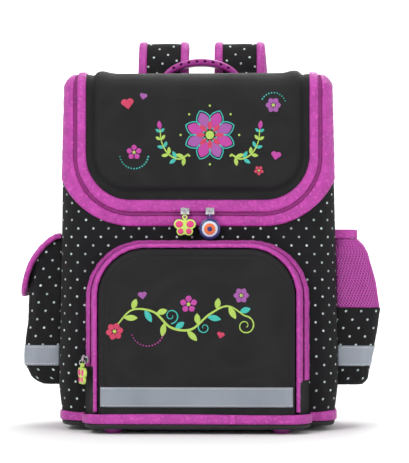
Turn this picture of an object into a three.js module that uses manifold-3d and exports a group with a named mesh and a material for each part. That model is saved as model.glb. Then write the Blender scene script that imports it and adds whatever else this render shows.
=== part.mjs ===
// School ransel: a stiff, box-shaped school backpack, closed and standing on its four feet.
// Millimetres, +Z up, the front of the bag faces -Y. The origin is at the middle of the floor it covers.

import * as THREE from 'three';
import { mergeVertices } from 'three/addons/utils/BufferGeometryUtils.js';
import Module from 'manifold-3d';

const wasm = await Module();
wasm.setup();

// Clearance left between pieces that are sewn or pressed together.
const gap = 0.3;

// Bag body.
const bodyWidth = 294;
const bodyDepth = 150;
const bodyHeight = 363;
const bodyWall = 3;
const bodyCorner = 24;
const bodyTopEdge = 18;

// Base and feet.
const footHeight = 5;
const footTopRadius = 9.4;
const footFloorRadius = 8.4;
const footSpacingX = 174;
const frontFootInset = 13;
const backFootInset = 25;
const baseThickness = 5.2;
const baseRoundingUnder = 3;
const basePocketCorner = 24;
const bindingThickness = 2;
const baseBindingHeight = 10;
const bindingLapWidth = 6;
const bindingLapThickness = 1;
const bindingLapPlace = 37;

// Lid, the two bands beside its zip, and the zip.
const zipInset = 12.4;
const lidCorner = 60;
const lidHinge = 20;
const zipWidth = 3;
const zipThickness = 2.4;
const bandThickness = 1.8;
const lidBandSide = 9.5;
const lidBandFoot = 13;
const bodyBandFoot = 11;
const bodyBandReturn = 20;
const fieldMarginSide = 8;
const fieldMarginFoot = 10;
const fieldRise = 6;
const fieldTopRise = 1.5;
const fieldBevel = 6;

// Front pocket.
const pocketWidth = 209;
const pocketHeight = 183;
const pocketCorner = 52;
const pocketDepth = 32;
const pocketFlareSide = 12.5;
const pocketFlareTop = 5.5;
const pocketWall = 2;
const pocketPanelThickness = 3;
const pocketPanelCrown = 5;
const pipingRadius = 2;
const pipingEase = 0.7;
const pocketZipEndLeft = 58;
const pocketZipEndRight = 43;
const pocketZipWidth = 5;
const pocketZipThickness = 1;
const frontReflectorHeight = 20.5;
const frontReflectorRise = 17.5;
const reflectorThickness = 0.8;

// Side pockets.
const sidePocketLength = 100;
const sidePocketWall = 2;
const sidePocketCorner = 12;
const sidePocketLift = 36;
const leftPocketHeight = 142;
const leftPocketReach = 38.5;
const leftPocketSlant = 34;
const flapThickness = 2.6;
const flapOverhang = 3;
const flapCorner = 22;
const flapBindingWidth = 9;
const flapBindingThickness = 1.1;
const rightPocketHeight = 164;
const rightPocketReach = 46;
const rightPocketFabric = 81;
const elasticHeight = 9.5;
const elasticThickness = 3;
const netPitch = 14;
const netHole = 4.2;
const sideReflectorRise = 20;
const sideReflectorHeight = 21.5;

// Handle.
const handleSpan = 84;
const handleRise = 24;
const handleDrop = 2;
const handleThickness = 9;
const handleWidth = 18;
const handleCorner = 2.5;
const handleSetback = 10;
const handleHoles = 8;
const handleHoleRadius = 1.7;
const handleHoleDepth = 3;
const handleHolePitch = 9.3;
const handleArcSteps = 16;

// Padded back.
const backPanelWidth = 190;
const backPanelHeight = 312;
const backPanelRise = 18;
const backPanelThickness = 3;
const backPadThickness = 9;
const backPadCorner = 16;
const backPadRounding = 4;

// Shoulder straps.
const strapWidth = 57;
const strapThickness = 9;
const strapSpacing = 85;
const strapReach = 52;
const strapSplay = 36;
const strapBindingWidth = 9;
const strapBindingThickness = 1.2;
const strapEndCorner = 20;

// Lower strap webbing with its buckle and its anchor on the bag.
const webbingWidth = 20;
const webbingThickness = 1.4;
const webbingTail = 42;
const buckleBar = 3.4;
const buckleSlot = 5.5;
const buckleSide = 5;
const buckleClearance = 1;
const anchorWidth = 23;
const anchorHeight = 34;
const anchorThickness = 2;

// Zip pulls.
const sliderWidth = 9;
const sliderHeight = 7;
const sliderThickness = 2.2;
const pullEyeRadius = 2.8;
const pullHoleRadius = 1.4;
const pullEyeThickness = 1.2;
const pullReach = 7;
const ringRadius = 3.2;
const ringWire = 0.55;
const charmThickness = 3;
const charmHeight = 21;
const charmMiddleWidth = 3;
const badgeRadius = 10.9;
const lidPullSpacing = 26;
const lidPullLift = 3;
const lidPullClearance = 0.9;

// Heights of the pieces above the floor.
const baseLow = footHeight + gap;
const bodyLow = baseLow + baseThickness + gap;
const bodyHigh = bodyLow + bodyHeight;
const bodyFront = -bodyDepth / 2;
const bodyBack = bodyDepth / 2;
const pocketHigh = bodyLow + pocketHeight;
const pocketFront = bodyFront - pocketDepth;
const panelInset = pipingRadius + pipingEase + gap;
const panelBackFace = pocketFront - gap;
const panelFrontFace = panelBackFace - pocketPanelThickness - pocketPanelCrown;
const baseBindingHigh = bodyLow + baseBindingHeight;
const sidePocketLow = bodyLow + sidePocketLift;
const leftPocketHigh = sidePocketLow + leftPocketHeight;
const rightPocketHigh = sidePocketLow + rightPocketHeight;

// The lid's pulls hang from its zip down to just above the front pocket.
const lidPullHang = 2 * ringRadius + pullHoleRadius + 2 * badgeRadius - lidPullLift;
const zipLow = pocketHigh + pocketFlareTop + lidPullClearance + lidPullHang;

// Cuts run this much past what they cut.
const beyond = 60;
const cornerSteps = 4;
const topEdgeSteps = 4;
const stripEdgeSteps = 2;
const pipingSteps = 38;
const flapSteps = 5;
const handleSteps = 12;
const strapSteps = 12;
const turnedSides = 20;

// Outline of the body from the side view and the front: each row is a level.
const bodySections = [
  // height: share of bodyHeight, width: share of bodyWidth, depth: share of bodyDepth
  { height: 0, width: 0.965, depth: 0.97 },
  { height: 0.03, width: 0.98, depth: 0.985 },
  { height: 0.1, width: 1, depth: 1 },
  { height: 0.56, width: 0.98, depth: 1 },
  { height: 0.78, width: 0.966, depth: 1 },
];
const bodyTopWidthShare = 0.955;
const zipHalf = bodyWidth / 2 * bodyTopWidthShare - zipInset;

// Front panel of the front pocket, from its rear face to its crown.
const panelSections = [
  // inset: share of pocketPanelCrown in from its edge
  // thickness, crown: shares of pocketPanelThickness and pocketPanelCrown that it has risen
  { inset: 0, thickness: 0, crown: 0 },
  { inset: 0, thickness: 1, crown: 0 },
  { inset: 0.8, thickness: 1, crown: 0.65 },
  { inset: 3, thickness: 1, crown: 1 },
];

// Bellows pocket on the left: it swells above its rounded floor and draws in to its mouth.
const leftPocketSections = [
  // height: share of leftPocketHeight, reach: share of leftPocketReach, length: share of sidePocketLength
  { height: 0, reach: 0.5, length: 0.9 },
  { height: 0.05, reach: 0.8, length: 0.96 },
  { height: 0.15, reach: 0.98, length: 1 },
  { height: 0.35, reach: 0.97, length: 1 },
  { height: 0.7, reach: 0.9, length: 0.98 },
  { height: 1, reach: 0.78, length: 0.95 },
];

// Bottle pocket on the right: widest where the net starts, gathered at its elastic mouth.
const rightPocketSections = [
  // height: share of rightPocketHeight, reach: share of rightPocketReach, length: share of sidePocketLength
  { height: 0, reach: 0.58, length: 0.92 },
  { height: 0.04, reach: 0.71, length: 0.96 },
  { height: 0.27, reach: 0.86, length: 1 },
  { height: 0.495, reach: 1, length: 1 },
  { height: 0.65, reach: 0.92, length: 0.98 },
  { height: 0.846, reach: 0.76, length: 0.93 },
  { height: 0.9, reach: 0.66, length: 0.89 },
  { height: 0.942, reach: 0.5, length: 0.86 },
  { height: 1, reach: 0.5, length: 0.85 },
];

// Side view of the flap over the left pocket, from its seam on the body to its hanging edge.
const flapPath = [
  // out: share of leftPocketReach beyond the body's side, height: share of leftPocketHeight
  { out: 0, height: 1.108 },
  { out: 0.16, height: 1.1 },
  { out: 0.5, height: 1.03 },
  { out: 0.83, height: 0.9 },
  { out: 1.02, height: 0.72 },
  { out: 1.06, height: 0.66 },
];

// Side view of a shoulder strap, from its seam on the back over its crest and down.
const strapPath = [
  // out: share of strapReach, height: share of bodyHeight, splay: share of strapSplay
  { out: 0, height: 0.935, splay: 0 },
  { out: 0.01, height: 1, splay: 0 },
  { out: 0.1, height: 1.07, splay: 0 },
  { out: 0.34, height: 1.115, splay: 0 },
  { out: 0.64, height: 1.1, splay: 0.02 },
  { out: 0.9, height: 1.01, splay: 0.1 },
  { out: 1, height: 0.84, splay: 0.27 },
  { out: 0.95, height: 0.68, splay: 0.52 },
  { out: 0.8, height: 0.55, splay: 0.77 },
  { out: 0.64, height: 0.46, splay: 1 },
];

// Raised pads of the back, two tall ones beside a channel and one across the waist.
const backPads = [
  // across, up: shares of the back panel from its middle and its foot to the pad's middle
  // width, height: shares of the back panel
  { across: -0.24, up: 0.63, width: 0.42, height: 0.66 },
  { across: 0.24, up: 0.63, width: 0.42, height: 0.66 },
  { across: 0, up: 0.15, width: 0.9, height: 0.22 },
];

// Round lobes of the winged charm, each made twice, beside its slim middle.
const charmLobes = [
  // radius, out, drop: shares of charmHeight, the places from the middle of its eye
  // flat: how much lower than wide the lobe is
  { radius: 0.28, out: 0.266, drop: 0.35, flat: 0.9 },
  { radius: 0.21, out: 0.2, drop: 0.7, flat: 1 },
];
const charmMiddleShare = 0.85;

// Half profile of the round charm, from its rear face to the crown of its front.
const badgeSections = [
  // radius: share of badgeRadius, rise: share of charmThickness before its middle
  { radius: 0, rise: -0.5 },
  { radius: 1, rise: -0.5 },
  { radius: 1, rise: 0.25 },
  { radius: 0.7, rise: 0.55 },
  { radius: 0, rise: 0.75 },
];

// Finishes.
const finish = (color, roughness, metalness = 0) =>
  new THREE.MeshStandardMaterial({ color, roughness, metalness });
const dottedFabric = () => finish(0x26262a, 0.85);
const mouldedFabric = () => finish(0x1f1f22, 0.7);
const magentaSatin = () => finish(0xb83fa0, 0.5);
const magentaNet = () => finish(0xa63a92, 0.7);
const greyReflective = () => finish(0x969ea5, 0.45);
const blackPlastic = () => finish(0x18181a, 0.45);
const magentaPlastic = () => finish(0xb83fa0, 0.4);
const blackWebbing = () => finish(0x1c1c1e, 0.8);
const zipTeeth = () => finish(0x202024, 0.4);
const nickel = () => finish(0xb8bcc0, 0.3, 1);
const softRubber = (color) => finish(color, 0.5);

// A closed three.js geometry as a solid that can be cut and joined.
function solidOf(geometry) {
  const bare = geometry.clone();
  bare.deleteAttribute('normal');
  bare.deleteAttribute('uv');
  const merged = mergeVertices(bare, 1e-4);
  const corners = merged.index.array;
  const kept = [];
  for (let i = 0; i < corners.length; i += 3) {
    const [a, b, c] = [corners[i], corners[i + 1], corners[i + 2]];
    if (a !== b && b !== c && c !== a) kept.push(a, b, c);
  }
  const vertProperties = new Float32Array(merged.attributes.position.array);
  return new wasm.Manifold(new wasm.Mesh({ numProp: 3, vertProperties, triVerts: new Uint32Array(kept) }));
}

function geometryOf(solid) {
  const { vertProperties, triVerts } = solid.getMesh();
  const geometry = new THREE.BufferGeometry();
  geometry.setAttribute('position', new THREE.BufferAttribute(vertProperties, 3));
  geometry.setIndex(new THREE.BufferAttribute(triVerts, 1));
  geometry.computeVertexNormals();
  return geometry;
}

function piece(name, shape, material) {
  const geometry = shape.isBufferGeometry ? shape : geometryOf(shape);
  const mesh = new THREE.Mesh(geometry, material);
  mesh.name = name;
  return mesh;
}

// Six times the volume that a list of triangles encloses, negative where they face inwards.
function signedVolume(points, faces) {
  let total = 0;
  for (let i = 0; i < faces.length; i += 3) {
    const [a, b, c] = [points[faces[i]], points[faces[i + 1]], points[faces[i + 2]]];
    total += a.dot(new THREE.Vector3().crossVectors(b, c));
  }
  return total;
}

// A closed solid through rings of equally many points; the first and last ring are convex and capped.
function loft(rings) {
  const count = rings[0].length;
  const points = rings.flat();
  const faces = [];
  for (let ring = 0; ring + 1 < rings.length; ring += 1) {
    for (let i = 0; i < count; i += 1) {
      const here = ring * count + i;
      const next = ring * count + ((i + 1) % count);
      faces.push(here, next, next + count, here, next + count, here + count);
    }
  }
  const last = (rings.length - 1) * count;
  for (let i = 1; i + 1 < count; i += 1) {
    faces.push(0, i + 1, i, last, last + i, last + i + 1);
  }
  if (signedVolume(points, faces) < 0) faces.reverse();
  const geometry = new THREE.BufferGeometry().setFromPoints(points);
  geometry.setIndex(faces);
  return solidOf(geometry);
}

// Rectangle with rounded corners as flat points; its low and high corners have their own radii.
function roundedRectangle(left, right, low, high, lowRadius, highRadius = lowRadius, turns = cornerSteps) {
  const corners = [
    { x: left + lowRadius, y: low + lowRadius, radius: lowRadius, turn: 2 },
    { x: right - lowRadius, y: low + lowRadius, radius: lowRadius, turn: 3 },
    { x: right - highRadius, y: high - highRadius, radius: highRadius, turn: 0 },
    { x: left + highRadius, y: high - highRadius, radius: highRadius, turn: 1 },
  ];
  return corners.flatMap(({ x, y, radius, turn }) => {
    const steps = radius > 0 ? turns : 0;
    return Array.from({ length: steps + 1 }, (_, step) => {
      const angle = (turn + (steps ? step / steps : 0)) * Math.PI / 2;
      return new THREE.Vector2(x + radius * Math.cos(angle), y + radius * Math.sin(angle));
    });
  });
}

const levelRing = (outline, z) => outline.map((p) => new THREE.Vector3(p.x, p.y, z));
const uprightRing = (outline, y) => outline.map((p) => new THREE.Vector3(p.x, y, p.y));

function block(left, right, front, back, low, high) {
  const outline = roundedRectangle(left, right, front, back, 0);
  return loft([levelRing(outline, low), levelRing(outline, high)]);
}

// Everything of the bag between two heights.
const levelBand = (low, high) => block(-bodyWidth, bodyWidth, -bodyDepth, bodyDepth, low, high);

// Straight line through the rows of a table, at a share of its height.
function rowAt(rows, height, column) {
  const above = rows.findIndex((row) => row.height >= height);
  if (above === 0) return rows[0][column];
  if (above < 0) return rows[rows.length - 1][column];
  const [low, high] = [rows[above - 1], rows[above]];
  const part = (height - low.height) / (high.height - low.height);
  return low[column] + part * (high[column] - low[column]);
}

const topShare = 1 - bodyTopEdge / bodyHeight;
const bodyRows = [...bodySections, { height: topShare, width: bodyTopWidthShare, depth: 1 }];
const bodyHalfAt = (z) => bodyWidth / 2 * rowAt(bodyRows, (z - bodyLow) / bodyHeight, 'width');

// The body's outer shape, grown or shrunk by an offset.
function bodyForm(offset) {
  const section = (half, depth, inset, z) => {
    const x = half + offset - inset;
    const y = depth / 2 + offset - inset;
    return levelRing(roundedRectangle(-x, x, -y, y, bodyCorner + offset - inset), z);
  };
  const rings = bodyRows.map((row, i) => {
    const z = bodyLow + bodyHeight * row.height - (i ? 0 : offset);
    return section(bodyWidth / 2 * row.width, bodyDepth * row.depth, 0, z);
  });
  const edge = bodyTopEdge + offset;
  for (let step = 1; step <= topEdgeSteps; step += 1) {
    const angle = step / topEdgeSteps * Math.PI / 2;
    const z = bodyHigh - bodyTopEdge + edge * Math.sin(angle);
    rings.push(section(bodyWidth / 2 * bodyTopWidthShare, bodyDepth, edge * (1 - Math.cos(angle)), z));
  }
  return loft(rings);
}

const bodySkin = (inner, outer) => bodyForm(outer).subtract(bodyForm(inner));

// Everything above a U-shaped line on the front, drawn back through the bag.
// Insets move the line in from the zip's middle, at its sides and at its foot.
function lidCut(sideInset, footInset, back, bevel = 0) {
  const outline = (shrink) => {
    const half = zipHalf - sideInset - shrink;
    const radius = lidCorner - (sideInset + footInset) / 2 - shrink;
    return roundedRectangle(-half, half, zipLow + footInset + shrink, bodyHigh + beyond, radius, 0);
  };
  const rings = [uprightRing(outline(0), back)];
  if (bevel) {
    rings.push(uprightRing(outline(0), bodyFront));
    rings.push(uprightRing(outline(bevel), bodyFront - fieldRise));
  }
  rings.push(uprightRing(outline(bevel), bodyFront - beyond));
  return loft(rings);
}

const hingeLine = bodyBack - lidHinge;
const zipEdge = zipWidth / 2 + gap;

function bodyShell() {
  return bodySkin(-bodyWall, 0).subtract(lidCut(-zipEdge, -zipEdge, hingeLine));
}

// Moulded lid: a shell with a bevelled field standing proud inside its flat border.
function lidPanel() {
  const back = hingeLine - gap;
  const shell = bodySkin(-bodyWall, 0).intersect(lidCut(zipEdge, zipEdge, back));
  const sideInset = zipEdge + lidBandSide + fieldMarginSide;
  const footInset = zipEdge + lidBandFoot + fieldMarginFoot;
  const field = bodySkin(-bodyWall / 2, fieldRise).intersect(lidCut(sideInset, footInset, back, fieldBevel))
    .intersect(levelBand(zipLow, bodyHigh + fieldTopRise));
  return shell.add(field);
}

function lidBand() {
  const outer = lidCut(zipEdge, zipEdge, hingeLine - gap);
  const inner = lidCut(zipEdge + lidBandSide, zipEdge + lidBandFoot, hingeLine + beyond);
  return bodySkin(gap, gap + bandThickness).intersect(outer).subtract(inner);
}

function lidZip() {
  const outer = lidCut(-zipWidth / 2, -zipWidth / 2, hingeLine);
  const inner = lidCut(zipWidth / 2, zipWidth / 2, hingeLine + beyond);
  return bodySkin(-zipThickness / 2, zipThickness / 2).intersect(outer).subtract(inner);
}

// The body's own band turns round the front corners and the top edges of the sides.
function bodyBand() {
  const half = bodyWidth / 2 + bandThickness + gap;
  const low = zipLow - zipEdge - bodyBandFoot;
  const radius = lidCorner + half - zipHalf;
  const outline = roundedRectangle(-half, half, low, bodyHigh + beyond, radius, 0);
  const front = loft([
    uprightRing(outline, bodyFront + bodyBandReturn),
    uprightRing(outline, bodyFront - beyond),
  ]);
  const top = block(-half, half, bodyFront, hingeLine, bodyHigh - bodyBandReturn, bodyHigh + beyond);
  const opening = lidCut(-zipEdge, -zipEdge, hingeLine + beyond);
  return bodySkin(gap, gap + bandThickness).intersect(front.add(top)).subtract(opening);
}

// Arched outline of the front pocket; its foot is the same at every depth.
function pocketOutline(side, top, foot = 0) {
  const half = pocketWidth / 2 + side;
  const radius = pocketCorner + (side + top) / 2;
  return roundedRectangle(-half, half, bodyLow - foot, pocketHigh + top, 0, radius);
}

// Sloping side wall of the pocket, filled in; grown by an offset.
function pocketFrustum(offset, foot = 0, past = 0) {
  const ringAt = (y) => {
    const spread = (y - pocketFront) / pocketDepth;
    const side = pocketFlareSide * spread + offset;
    const top = pocketFlareTop * spread + offset;
    return uprightRing(pocketOutline(side, top, foot), y);
  };
  return loft([ringAt(bodyFront + bodyWall), ringAt(pocketFront - past)]);
}

function pocketGusset() {
  const wall = pocketFrustum(0).subtract(pocketFrustum(-pocketWall, beyond, bodyWall));
  return wall.subtract(bodyForm(gap));
}

// Crowned pocket front, grown by an offset; back is where its rear face lies.
function pocketPanelForm(offset, back) {
  const outward = Math.max(offset, 0);
  return loft(panelSections.map(({ inset, thickness, crown }) => {
    const grow = offset - panelInset - inset * pocketPanelCrown;
    const rise = thickness * pocketPanelThickness + crown * pocketPanelCrown;
    return uprightRing(pocketOutline(grow, grow, outward), back - rise - outward);
  }));
}

function pocketPanel() {
  const foot = block(-pocketWidth, pocketWidth, panelFrontFace - beyond, 0,
    bodyLow - beyond, bodyLow + pocketPanelThickness);
  const hollow = pocketPanelForm(0, panelBackFace + pocketPanelThickness).subtract(foot);
  return pocketPanelForm(0, panelBackFace).subtract(hollow);
}

function pocketPiping() {
  const y = panelBackFace - pipingRadius;
  const low = baseBindingHigh + pipingRadius;
  const half = pocketWidth / 2;
  const arch = pocketOutline(0, 0).filter((p) => p.y > low);
  const corners = [new THREE.Vector2(half, low), ...arch, new THREE.Vector2(-half, low)];
  const path = new THREE.CurvePath();
  path.curves = uprightRing(corners, y).slice(1).map((end, i) => new THREE.LineCurve3(
    new THREE.Vector3(corners[i].x, y, corners[i].y), end));
  const section = new THREE.Shape().absarc(0, 0, pipingRadius, 0, 2 * Math.PI);
  const size = { extrudePath: path, steps: pipingSteps, curveSegments: 3 };
  return solidOf(new THREE.ExtrudeGeometry(section, size));
}

const zipEndLeft = bodyLow + pocketZipEndLeft;
const zipEndRight = bodyLow + pocketZipEndRight;

// The part of the gusset that the pocket's zip runs along: above the zip's two ends.
function aboveZipEnds(clear) {
  const wide = pocketWidth;
  const front = pocketFront - beyond;
  return block(-wide, 0, front, bodyFront + beyond, zipEndLeft + clear, pocketHigh + beyond)
    .add(block(0, wide, front, bodyFront + beyond, zipEndRight + clear, pocketHigh + beyond));
}

function pocketZipBand() {
  return pocketGusset().intersect(aboveZipEnds(0));
}

function pocketSide(side) {
  const half = block(Math.min(0, side * pocketWidth), Math.max(0, side * pocketWidth),
    pocketFront - beyond, 0, 0, pocketHigh);
  return pocketGusset().intersect(half).subtract(aboveZipEnds(-gap));
}

function pocketZip() {
  const middle = pocketFront + pocketDepth / 2;
  const run = block(-pocketWidth, pocketWidth, middle - pocketZipWidth / 2, middle + pocketZipWidth / 2,
    0, pocketHigh + beyond);
  return pocketFrustum(gap + pocketZipThickness).subtract(pocketFrustum(gap, beyond, bodyWall))
    .intersect(run).intersect(aboveZipEnds(0));
}

function frontReflector() {
  const half = pocketWidth / 2 - panelInset - pocketPanelCrown / 2;
  const low = bodyLow + frontReflectorRise;
  const place = block(-half, half, panelFrontFace - beyond, panelBackFace - pocketPanelThickness,
    low, low + frontReflectorHeight);
  return pocketPanelForm(gap + reflectorThickness, panelBackFace)
    .subtract(pocketPanelForm(gap, panelBackFace)).intersect(place);
}

// Outline of the base from above: the body with the front pocket's bulge, grown by an offset.
function baseForm(grow, rings) {
  const top = baseBindingHeight / bodyHeight;
  const x = bodyWidth / 2 * rowAt(bodyRows, top, 'width');
  const y = bodyDepth / 2 * rowAt(bodyRows, top, 'depth');
  const pocket = pocketWidth / 2 + pocketFlareSide;
  const main = loft(rings.map(({ z, inset }) => {
    const out = grow - inset;
    return levelRing(roundedRectangle(-x - out, x + out, -y - out, y + out, bodyCorner + out), z);
  }));
  const bulge = loft(rings.map(({ z, inset }) => {
    const out = grow - inset;
    const half = pocket + out;
    const outline = roundedRectangle(-half, half, panelFrontFace - out, 0, basePocketCorner + out, 0);
    return levelRing(outline, z);
  }));
  return main.add(bulge);
}

function basePanel() {
  return baseForm(0, [
    { z: baseLow, inset: baseRoundingUnder },
    { z: baseLow + baseRoundingUnder, inset: 0 },
    { z: baseLow + baseThickness, inset: 0 },
  ]);
}

// Binding sewn round the foot of the body and the front pocket.
function baseBinding() {
  const band = [{ z: bodyLow, inset: 0 }, { z: baseBindingHigh, inset: 0 }];
  const tall = [{ z: baseLow, inset: 0 }, { z: baseBindingHigh + beyond, inset: 0 }];
  return baseForm(gap + bindingThickness, band).subtract(baseForm(gap, tall))
    .subtract(bodyForm(gap)).subtract(pocketFrustum(gap));
}

function bindingLap() {
  const back = panelFrontFace - 2 * gap - bindingThickness;
  return block(bindingLapPlace - bindingLapWidth / 2, bindingLapPlace + bindingLapWidth / 2,
    back - bindingLapThickness, back, bodyLow, baseBindingHigh);
}

function foot() {
  const profile = [
    new THREE.Vector2(0, 0), new THREE.Vector2(footFloorRadius, 0),
    new THREE.Vector2(footTopRadius, footHeight), new THREE.Vector2(0, footHeight),
  ];
  const turned = solidOf(new THREE.LatheGeometry(profile, turnedSides));
  return turned.rotate([90, 0, 0]);
}

// A side pocket's outer form, grown by an offset; past lets a hollow run out of the mouth.
function sidePocketForm(pocket, offset, past = 0) {
  const rings = pocket.rows.map((row, i) => {
    const z = sidePocketLow + pocket.height * row.height - (i ? 0 : offset);
    const side = bodyHalfAt(z);
    const half = sidePocketLength / 2 * row.length + offset;
    const outline = roundedRectangle(side - bodyCorner - offset, side + pocket.reach * row.reach + offset,
      -half, half, sidePocketCorner + offset);
    return levelRing(outline, z).map((p) => p.setX(pocket.side * p.x));
  });
  const mouth = rings[rings.length - 1].map((p) => p.clone().setZ(p.z + past));
  return loft(past ? [...rings, mouth] : rings);
}

function sidePocketSkin(pocket, inner, outer) {
  const hollow = sidePocketForm(pocket, inner, beyond);
  return sidePocketForm(pocket, outer).subtract(hollow).subtract(bodyForm(gap));
}

const leftPocket = {
  side: -1, rows: leftPocketSections, height: leftPocketHeight, reach: leftPocketReach,
};
const rightPocket = {
  side: 1, rows: rightPocketSections, height: rightPocketHeight, reach: rightPocketReach,
};

// The bellows pocket's mouth slopes down and away from the body, under the flap.
function leftPocketShell() {
  const near = bodyHalfAt(leftPocketHigh);
  const far = near + leftPocketReach + beyond;
  const fall = leftPocketSlant * (far - near) / leftPocketReach;
  const wedge = [
    new THREE.Vector2(-near + bodyCorner, leftPocketHigh), new THREE.Vector2(-near, leftPocketHigh),
    new THREE.Vector2(-far, leftPocketHigh - fall), new THREE.Vector2(-far, leftPocketHigh + beyond),
    new THREE.Vector2(-near + bodyCorner, leftPocketHigh + beyond),
  ];
  const slope = loft([uprightRing(wedge, -bodyDepth), uprightRing(wedge, bodyDepth)]);
  return sidePocketSkin(leftPocket, -sidePocketWall, 0).subtract(slope);
}

function sideReflector(pocket) {
  const low = sidePocketLow + sideReflectorRise;
  return sidePocketSkin(pocket, gap, gap + reflectorThickness)
    .intersect(levelBand(low, low + sideReflectorHeight));
}

function rightPocketLower() {
  return sidePocketSkin(rightPocket, -sidePocketWall, 0)
    .intersect(levelBand(0, sidePocketLow + rightPocketFabric));
}

// Net with six-sided holes through its front and back gussets and through its outer wall.
function rightPocketNet() {
  const low = sidePocketLow + rightPocketFabric + gap;
  const high = rightPocketHigh - elasticHeight - gap;
  const net = sidePocketSkin(rightPocket, -sidePocketWall, 0).intersect(levelBand(low, high));
  const hole = solidOf(new THREE.CylinderGeometry(netHole, netHole, beyond * 4, 6));
  const through = solidOf(new THREE.CylinderGeometry(netHole, netHole, beyond, 6)).rotate([0, 0, 90]);
  const rowPitch = netPitch * Math.sqrt(3) / 2;
  const rows = Math.floor((high - low - netHole) / rowPitch);
  const cuts = [];
  for (let row = 0; row < rows; row += 1) {
    const z = low + netHole + gap + (row + 0.5) * (high - low - 2 * netHole) / rows;
    const share = (z - sidePocketLow) / rightPocketHeight;
    const reach = rightPocketReach * rowAt(rightPocketSections, share, 'reach');
    const length = sidePocketLength * rowAt(rightPocketSections, share, 'length');
    const side = bodyHalfAt(z);
    const across = Math.max(1, Math.floor((reach - sidePocketCorner) / netPitch));
    for (let i = 0; i < across; i += 1) {
      cuts.push(hole.translate([side + (i + 0.5) * (reach - sidePocketCorner / 2) / across, 0, z]));
    }
    const along = Math.floor((length - 2 * sidePocketCorner) / netPitch) - row % 2;
    for (let i = 0; i < along; i += 1) {
      cuts.push(through.translate([side + reach, (i + 0.5 - along / 2) * netPitch, z]));
    }
  }
  return net.subtract(wasm.Manifold.union(cuts));
}

function rightPocketElastic() {
  return sidePocketSkin(rightPocket, -sidePocketWall, elasticThickness - sidePocketWall)
    .intersect(levelBand(rightPocketHigh - elasticHeight, rightPocketHigh));
}

// Curve through the points of a path, and a strip laid along it.
// Lengths past the curve's ends run on straight; the far end may be rounded off.
function strip(curve, across, size) {
  const { half, thickness, before = 0, past = 0, endCorner = 0, edge = 0, steps } = size;
  const length = curve.getLength();
  const station = (along, inset) => {
    const share = THREE.MathUtils.clamp(along / length, 0, 1);
    const tangent = curve.getTangentAt(share);
    const centre = curve.getPointAt(share).addScaledVector(tangent, along - share * length);
    const side = across.clone().addScaledVector(tangent, -across.dot(tangent)).normalize();
    const normal = new THREE.Vector3().crossVectors(tangent, side);
    const [wide, thick] = [half - inset, thickness / 2];
    const section = roundedRectangle(-wide, wide, -thick, thick, edge, edge, stripEdgeSteps);
    return section.map((p) => centre.clone().addScaledVector(side, p.x).addScaledVector(normal, p.y));
  };
  const straight = length + past - endCorner;
  const stops = curve.getLengths(steps).filter((stop) => stop < straight - gap);
  const rings = before > 0 ? [station(-before, 0)] : [];
  [...stops, straight].forEach((stop) => rings.push(station(stop, 0)));
  const turns = endCorner > 0 ? cornerSteps : 0;
  for (let i = 1; i <= turns; i += 1) {
    const angle = i / turns * Math.PI / 2;
    rings.push(station(straight + endCorner * Math.sin(angle), endCorner * (1 - Math.cos(angle))));
  }
  return loft(rings);
}

// A flat padded strip and the binding folded over its sides and its far end.
function boundStrip(curve, across, { width, thickness, binding, bindingWidth, endCorner, steps }) {
  const rim = binding + gap;
  const half = width / 2 - rim;
  const pad = strip(curve, across, { half, thickness, endCorner, steps });
  const outer = strip(curve, across, {
    half: half + rim, thickness: thickness + 2 * rim,
    past: rim, endCorner: endCorner + rim, steps,
  });
  const inner = strip(curve, across, {
    half: half + gap, thickness: thickness + 2 * gap,
    before: binding, past: gap, endCorner: endCorner + gap, steps,
  });
  const inset = bindingWidth - rim;
  const open = strip(curve, across, {
    half: half - inset, thickness: thickness + 4 * rim,
    before: binding, past: -inset, endCorner: endCorner - inset, steps,
  });
  return { pad, binding: outer.subtract(inner).subtract(open) };
}

function flapOfLeftPocket() {
  const curve = new THREE.CatmullRomCurve3(flapPath.map(({ out, height }) => {
    const z = sidePocketLow + leftPocketHeight * height;
    return new THREE.Vector3(-bodyHalfAt(z) - 2 * gap - leftPocketReach * out, 0, z);
  }));
  return boundStrip(curve, new THREE.Vector3(0, 1, 0), {
    width: sidePocketLength + 2 * flapOverhang, thickness: flapThickness, binding: flapBindingThickness,
    bindingWidth: flapBindingWidth, endCorner: flapCorner, steps: flapSteps,
  });
}

function handle() {
  const middle = bodyBack - handleSetback;
  const arc = Array.from({ length: handleArcSteps + 1 }, (_, i) => {
    const angle = i / handleArcSteps * Math.PI;
    return new THREE.Vector3(handleSpan / 2 * Math.cos(angle), middle,
      bodyHigh - handleDrop + handleRise * Math.sin(angle));
  });
  const curve = new THREE.CatmullRomCurve3(arc);
  const bow = strip(curve, new THREE.Vector3(0, 1, 0), {
    half: handleWidth / 2, thickness: handleThickness, edge: handleCorner, steps: handleSteps });
  const bore = new THREE.CylinderGeometry(handleHoleRadius, handleHoleRadius, 2 * handleHoleDepth, 6);
  const drill = solidOf(bore);
  const length = curve.getLength();
  const holes = Array.from({ length: handleHoles }, (_, i) => {
    const along = length / 2 + (i - (handleHoles - 1) / 2) * handleHolePitch;
    const at = curve.getPointAt(along / length);
    return drill.translate([at.x, middle - handleWidth / 2, at.z]);
  });
  return bow.subtract(wasm.Manifold.union(holes)).subtract(bodyForm(gap));
}

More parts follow.
